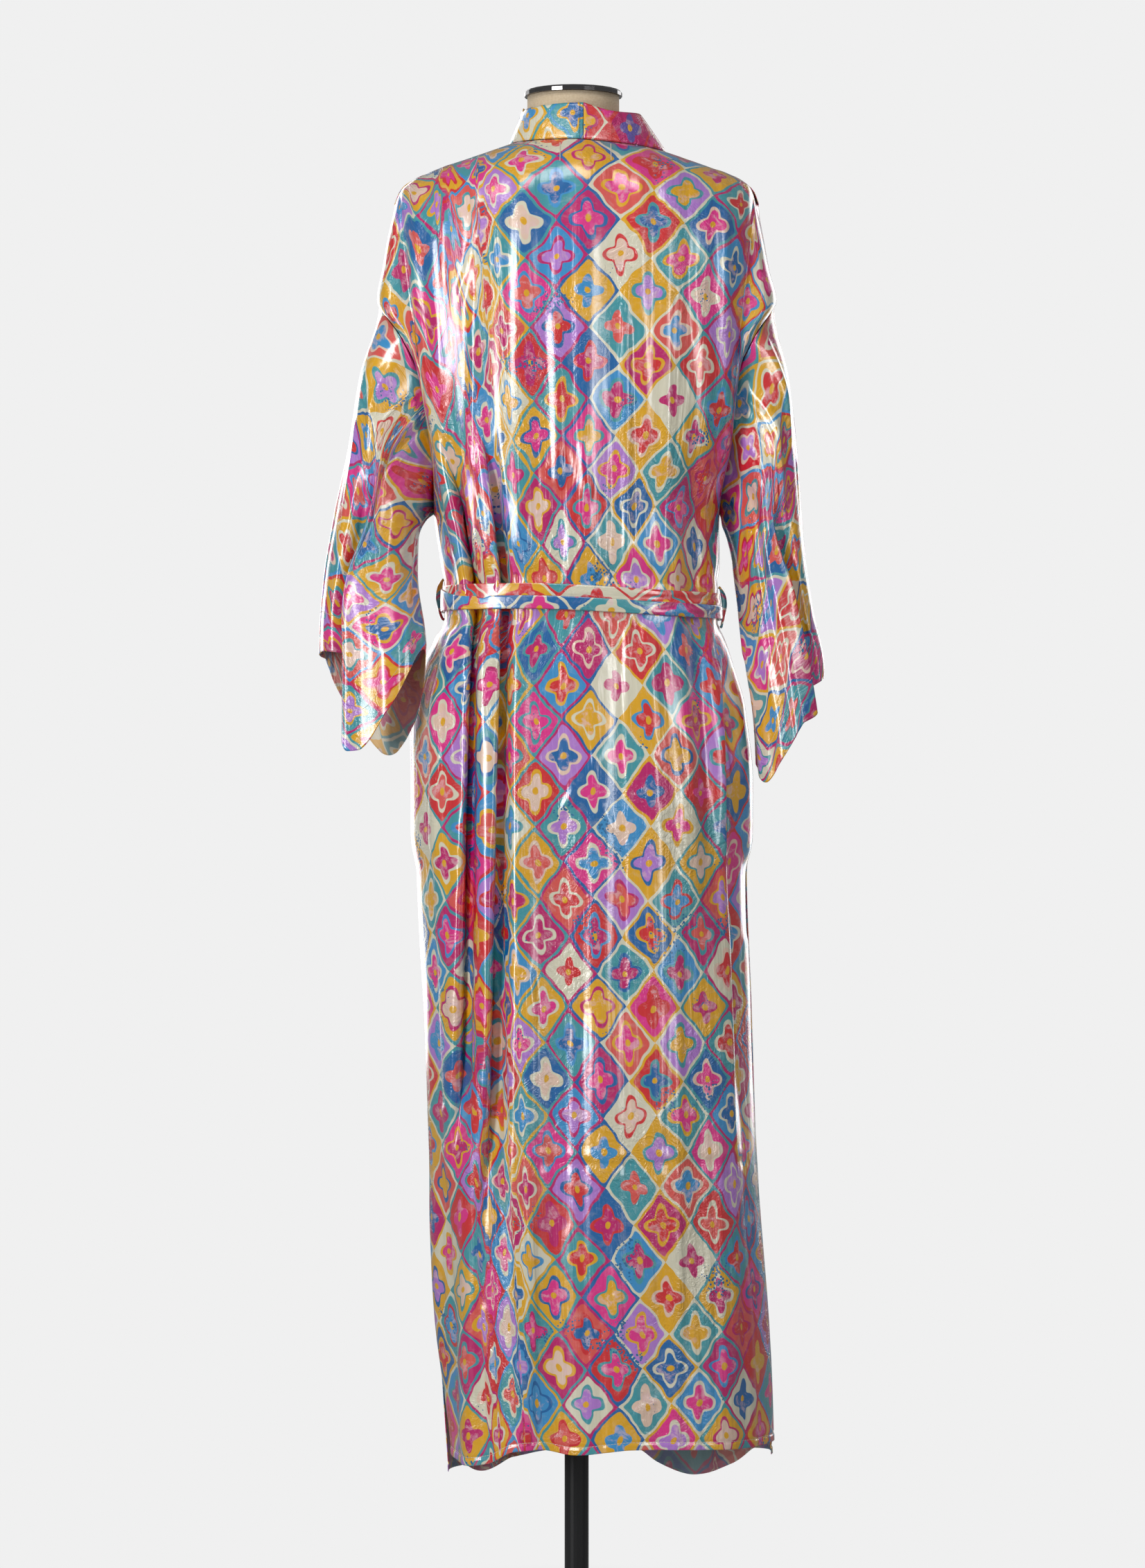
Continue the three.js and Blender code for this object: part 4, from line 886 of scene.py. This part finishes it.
# Sleeves
# Wide straight sleeves hang from dropped armholes. They are cut with the print turned, and each falls
# flat with a long fold down its back. Both cuffs turn their inner edge to the back, the left one more.
ARM_GAP = 0.8
HEM_ROW = -18             # the row of the hem's stitches, about 45 mm up at most, less under the arm
CUT_ROW = 70
SLEEVE_GRID = {"rows": 140, "columns": 200}
SLEEVE_SWING = 0.2
SLEEVE_NAMES = "z outX outY inX inY back front"
SLEEVES = {
    "left": chart(
        SLEEVE_NAMES,
        (1383, 207, 0, 172, 0, 62, 60), (1296, 226, 0, 164, -2, 66, 62), (1231, 236, -2, 160, -5, 66, 60),
        (1162, 250, -4, 162, -12, 62, 54), (1093, 258, -8, 164, -36, 54, 42),
        (1022, 260, -14, 156, -82, 42, 28), (900, 260, -18, 158, -94, 38, 26),
    ),
    "right": chart(
        SLEEVE_NAMES,
        (1383, 203, 0, 172, 0, 60, 60), (1322, 217, 0, 167, -2, 64, 62), (1248, 227, -2, 165, -4, 66, 60),
        (1138, 234, -4, 164, -12, 62, 52), (1065, 241, -6, 171, -24, 56, 44),
        (1007, 251, -8, 177, -38, 50, 36), (940, 248, -10, 188, -50, 44, 32),
        (870, 243, -10, 193, -54, 42, 30),
    ),
}
SLEEVE_HEMS = {
    "left": chart("turn z", (0, 1014), (45, 1021), (84, 1016), (98, 918), (130, 958), (180, 1022),
                  (225, 962), (270, 914), (315, 960), (360, 1014)),
    "right": chart("turn z", (0, 1007), (40, 996), (80, 981), (110, 945), (150, 905), (175, 886),
                   (215, 905), (270, 926), (320, 966), (360, 1007)),
}
# The long fold down the back: the inner half of the sleeve lies over the outer half
LAPS = {"left": {"turn": 90, "wide": 13, "deep": 19, "lap": 50, "from": 0.25},
        "right": {"turn": 94, "wide": 15, "deep": 19, "lap": 46, "from": 0.3}}
SLEEVE_CREASES = {
    "left": chart(
        CREASE_NAMES,
        (60, 1330, 75, 1180, 1.8, 7), (100, 1290, 92, 1120, 1.6, 7), (40, 1200, 62, 1060, 1.5, 7),
        (120, 1150, 130, 1010, 1.5, 6), (60, 1080, 85, 1040, -1.2, 5), (250, 1300, 255, 1100, 1.8, 8),
        (300, 1200, 290, 1040, 1.5, 7), (200, 1180, 215, 1060, 1.4, 7),
    ),
    "right": chart(
        CREASE_NAMES,
        (50, 1320, 62, 1170, 1.8, 7), (90, 1300, 84, 1100, 1.7, 7), (120, 1220, 128, 1060, 1.5, 7),
        (70, 1080, 76, 990, 1.5, 6), (30, 1150, 40, 1040, 1.2, 6), (250, 1300, 260, 1090, 1.8, 8),
        (300, 1180, 295, 1030, 1.5, 7), (190, 1200, 200, 1060, 1.4, 7),
    ),
}


def armhole(turn, hand):
    """The armhole seam. The turn is 0 at its top, 90 degrees at the back and 180 under the arm."""
    z = mix(UNDERARM, ARM_TOP, (1 + np.cos(turn)) / 2)
    behind, ahead = body(2 * hand, z, "back"), body(2 * hand, z, "front")
    return np.where((turn < math.pi)[..., None], behind, ahead)


def sleeve_points(name, hand, share, turn):
    start = armhole(turn, hand)
    degrees = np.degrees(turn)
    z = mix(start[..., 2], read(SLEEVE_HEMS[name], "turn", degrees, "z"), share)
    cell = {column: read(SLEEVES[name], "z", z, column) for column in SLEEVE_NAMES.split()[1:]}
    along_x, along_y = (cell["outX"] - cell["inX"]) / 2, (cell["outY"] - cell["inY"]) / 2
    length = np.hypot(along_x, along_y)
    fold = LAPS[name]
    life, reach = smooth((share - fold["from"]) / 0.3), (degrees - fold["turn"]) / fold["wide"]
    dent = -fold["deep"] * smooth((0.45 - reach) / 0.75) * (1 - smooth((-reach - 0.3) / 2.2))
    dent = dent + 2 * bell(reach - 0.7)
    swell = np.sin(turn) * np.where(turn < math.pi, cell["back"], cell["front"]) + life * dent
    place = np.cos(turn) * length + life * fold["lap"] * reach * bell(reach)
    x = (cell["outX"] + cell["inX"]) / 2 + along_x / length * place + along_y / length * swell
    y = (cell["outY"] + cell["inY"]) / 2 + along_y / length * place - along_x / length * swell
    loose = 1 - (1 - np.clip(share / SLEEVE_SWING, 0, 1)) ** 2
    return np.stack([mix(start[..., 0], hand * x, loose), mix(start[..., 1], y, loose), z], axis=-1)


for name, hand in SIDES:
    turn = even(lambda turn: sleeve_points(name, hand, 0.6, turn), 0, 2 * math.pi,
                SLEEVE_GRID["columns"])[None]
    share = np.linspace(0, 1, SLEEVE_GRID["rows"])[:, None]
    points = sleeve_points(name, hand, share, turn)
    first = points[6] - points[0]
    points[0] += first / np.linalg.norm(first, axis=-1, keepdims=True) * ARM_GAP
    cut = cut_map(points, CUT_ROW)
    around, up = cut[..., 0], cut[..., 1]
    depth = (ripples(around, up, SEEDS["sleeve"] + hand, 0.9) + creases(around, up, SLEEVE_CREASES[name])
             + gathers(around, up, ARM_TOP, SEEDS["armhole"] + hand, reach=60, height=0.8))
    seamed = smooth(np.minimum(around, around.max() - around) / 12)
    depth = depth * smooth(share / 0.05) * seamed
    flip = hand > 0
    bent = points + normals(points, flip, True) * depth[..., None]
    bent[:, -1] = bent[:, 0]
    turned = np.stack([up + SLEEVES_LAID + SLEEVES_APART * hand, around], axis=-1)
    piece = cloth(f"sleeve_{name}_tube", bent, turned, SATIN, flip=flip, ring=True)
    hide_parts(f"sleeve_{name}")
    stitches(f"sleeve_{name}_hem_stitches", bent[HEM_ROW], normals(bent, flip, True)[HEM_ROW], ecru)


# Belt
# A long strip of satin, folded lengthwise and tied over the waist. Its folded half lies in front and
# narrows to the right as far as a step, and both are crushed towards the right of the back.
BELT = {"width": 26, "ease": 0.6, "wall": 3, "drop": 8}
CRUSHED = {"at": 330, "reach": 90}


def belt_points(u, face, height, out):
    flat = body(u, WAIST + 0 * np.asarray(height, float), face, out, folded=False)
    flat[..., 2] = WAIST - BELT["drop"] * smooth((flat[..., 0] + 60) / 200) + height
    return flat


def belt_grid(rows=15, count=150):
    height = BELT["width"] * np.linspace(0.5, -0.5, rows)[:, None]
    out = BELT["wall"] + BELT["ease"]
    behind = even(lambda u: belt_points(u, "back", 0, out), -2, 2, count)[:-1]
    ahead = even(lambda u: belt_points(u, "front", 0, out), 2, -2, count)
    return np.concatenate([belt_points(behind[None], "back", height, out),
                           belt_points(ahead[None], "front", height, out)], axis=1)


belt_base = belt_grid()
belt_cut = cut_map(belt_base, 7)
along = belt_cut[..., 0]
rows = np.linspace(0, 1, belt_base.shape[0])[:, None]
crushed = bell((along - CRUSHED["at"]) / CRUSHED["reach"])
crush = 0.8 * np.sin(rows * 19 + along / 26) * crushed + 0.3 * np.sin(rows * 12 + along / 40)
edge_print = satin("printed_satin_belt_edge", "edge", 0.0, **GLOSS)
belt_print = satin("printed_satin_belt", "sky", 0.0, **GLOSS)
strip = belt_base + normals(belt_base, False, True) * (crush - 1.5)[..., None]
strip[:, -1] = strip[:, 0]
strip_cut = belt_cut[..., ::-1] + LAID["belt_strip"]
belt = cloth("belt_strip", strip, strip_cut, (edge_print,), ring=True, thick=1.2)
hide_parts("belt")

# The folded half in front of it, which narrows to the right as far as a step
BELT_FOLD = {"start": 0.04, "step_at": 96, "step": 0.1, "foot": 0.48}
falling = mix(BELT_FOLD["start"], BELT_FOLD["foot"], smooth((along[0] + 10) / BELT_FOLD["step_at"]))
top = falling + BELT_FOLD["step"] * bell((along[0] - BELT_FOLD["step_at"] - 4) / 9)
level = mix(top[None, :], 1.0, np.linspace(0, 1, 11)[:, None])
low = np.clip((level * (belt_base.shape[0] - 1)).astype(int), 0, belt_base.shape[0] - 2)
part = (level * (belt_base.shape[0] - 1) - low)[..., None]
column = np.arange(belt_base.shape[1])[None, :]
fold_base = mix(belt_base[low, column], belt_base[low + 1, column], part)
fold_cut = cut_map(fold_base, 5)
around = fold_cut[..., 0]
crushed = bell((around - CRUSHED["at"]) / CRUSHED["reach"])
fold_crush = 0.9 * np.sin(level * 15 + around / 21) * crushed
lip = 0.5 * np.sin(np.linspace(0, math.pi, 11))[:, None]
fold = fold_base + normals(fold_base, False, True) * (fold_crush + lip + 0.5)[..., None]
fold[:, -1] = fold[:, 0]
fold_cut = fold_cut[..., ::-1] + LAID["belt_fold"]
belt_front = cloth("belt_fold", fold, fold_cut, (belt_print,), ring=True, thick=1.0)


# Belt loops
# Narrow tubes of the same satin, sewn into the side seams above and below the belt. They stand a little
# slack round it.
LOOP = {"height": 42, "width": 5.6, "thick": 2.2, "bulge": 6.2}


def loop_points(hand, around=10, count=40):
    """A flat tube along an arch in the plane of the side seams."""
    share = np.linspace(0, 1, count)
    def seam(at):
        return read(BODY, "z", at, "half") + hand * read(BODY, "z", at, "centre")

    middle = belt_points(2 * hand, "back", 0, 0)[2]
    z = middle + LOOP["height"] * (0.5 - share)
    bow = LOOP["bulge"] * np.clip(np.sin(math.pi * share), 0, 1) ** 0.5 + LOOP["thick"] / 2 + 0.3
    x = np.maximum(seam(z), seam(middle) - 1) + bow
    path = np.stack([x, 0 * z, z], axis=-1)
    turn = np.linspace(0, 2 * math.pi, around + 1)[None, :]
    ahead = np.gradient(path, axis=0)
    ahead /= np.linalg.norm(ahead, axis=-1, keepdims=True)
    out = np.cross(ahead, (0, 1, 0))
    twist = 0.9 * np.sin(math.pi * share)[:, None] + 0.5 * np.sin(2 * math.pi * share)[:, None]
    wide, deep = LOOP["width"] / 2 * np.cos(turn), LOOP["thick"] / 2 * np.sin(turn)
    aside, away = wide * np.cos(twist) - deep * np.sin(twist), wide * np.sin(twist) + deep * np.cos(twist)
    points = path[:, None] + away[..., None] * out[:, None] + aside[..., None] * np.array((0, 1.0, 0))
    points[..., 0] *= hand
    return points


for name, hand in SIDES:
    tube = loop_points(hand)
    tube[:, -1] = tube[:, 0]
    piece = cloth(f"belt_loop_{name}_tube", tube, cut_map(tube, 0) + LAID["belt_loop"], (right_side,),
                  flip=hand < 0, ring=True, thick=0.35)
    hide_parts(f"belt_loop_{name}")


# Belt ends and knot
# The two ends hang from a flat knot over the wrap of the fronts. Each is folded like the belt and hemmed
# square; a single strip stands for all of its layers, with no fold or stitches of its own.
TAILS = {"left": {"top": -11, "foot": -34, "length": 430}, "right": {"top": 12, "foot": 26, "length": 470}}
TAIL = {"width": 21, "out": 0.8, "wall": 2}
KNOT = {"width": 40, "height": 36, "depth": 22}
knot_middle = belt_points(0.0, "front", 0.0, BELT["wall"] + BELT["ease"] + SEAM)

for name, tail in TAILS.items():
    share = np.linspace(0, 1, 110)[:, None]
    aside = np.linspace(-0.5, 0.5, 13)[None, :]
    z = WAIST - KNOT["height"] / 2 - SEAM - 1 - tail["length"] * share
    wave = 2.2 * np.sin(share * 11 + (name == "left"))
    x = mix(tail["top"], tail["foot"], share ** 0.8) + TAIL["width"] * aside * (0.9 + 0.1 * share) + wave
    lift = 0.5 * np.sin(share * 23 + 3 * aside) + 0.35 * np.sin(aside * 16) + 0.3
    points = front(-1, x, z + 0 * x, TAIL["out"] + TAIL["wall"] - 0.8 + 0.5 * lift)
    cut = cut_map(points, 0)[..., ::-1] + LAID["belt_tail"]
    piece = cloth(f"belt_tail_{name}_strip", points, cut, (belt_print,), flip=True, thick=1.2)
    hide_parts(f"belt_tail_{name}")


def squared(share):
    """A place on a ball moved towards the faces of a box."""
    return math.copysign(abs(share) ** 0.8, share)


knot = bmesh.new()
knot_layer = knot.loops.layers.uv.new("cut")
bmesh.ops.create_uvsphere(knot, u_segments=56, v_segments=40, radius=1)
for vert in knot.verts:
    x, y, z = vert.co
    slant = 0.8 * x + 0.45 * z
    band = float(smooth((0.42 - abs(slant)) / 0.07))
    pleat = 0.05 * math.sin(slant * 34) * band + 0.045 * math.sin(z * 15 + 2 * x) * (1 - band)
    size = 0.86 + 0.12 * band + pleat
    vert.co = Vector((knot_middle[0] + KNOT["width"] / 2 * squared(x) * size,
                      knot_middle[1] + KNOT["depth"] / 2 * (1 + squared(y) * size),
                      knot_middle[2] + KNOT["height"] / 2 * squared(z) * size)) * MM
for face in knot.faces:
    face.smooth = True
    for corner in face.loops:
        corner[knot_layer].uv = (corner.vert.co.x + LAID["knot"][0] * MM, corner.vert.co.z)
knot_piece = solid("belt_knot_wrap", knot, belt_print)
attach(knot_piece, "root")
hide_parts("belt_knot")


# Form
# The form is padded hard, covered with natural linen, and turned smooth. Its neck shows, and some of
# its chest between the fronts.
def linen():
    """Natural linen: a plain weave of slubby beige threads about 0.6 mm apart, dry and matt."""
    material, tree, shader = surface("linen_cover", Base_Color=linear("#D9C4A4"), Roughness=0.92,
                                     Sheen_Weight=0.15)
    place = coordinates(tree)
    slub = noise(tree, place, 420.0, detail=3.0)["Fac"]
    tone = blend(tree, slub, linear("#C3AA86"), linear("#E4D3B8"))
    weave = add(tree, "ShaderNodeTexWave", {"Vector": place, "Scale": 260.0, "Distortion": 1.5},
                bands_direction="Z")
    tree.links.new(tone, shader.inputs["Base Color"])
    relief(tree, shader, weave.outputs["Fac"], 0.0002, 0.6)
    return material


# The cover is the torso's own solid with its corners joined, rounded between its sharp edges
torso = bmesh.new()
torso.from_mesh(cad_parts["form_torso"].data)
bmesh.ops.remove_doubles(torso, verts=torso.verts, dist=1e-6)
bmesh.ops.join_triangles(torso, faces=torso.faces, angle_face_threshold=0.2, angle_shape_threshold=3.1)
sharp = torso.edges.layers.float.new("crease_edge")
for edge in torso.edges:
    edge[sharp] = float(edge.calc_face_angle(0) > 0.8)
for face in torso.faces:
    face.smooth = True
cover = solid("form_cover", torso, linen())
rounding = cover.modifiers.new("rounding", "SUBSURF")
rounding.levels = rounding.render_levels = 2
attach(cover, "root")
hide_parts("form_torso")
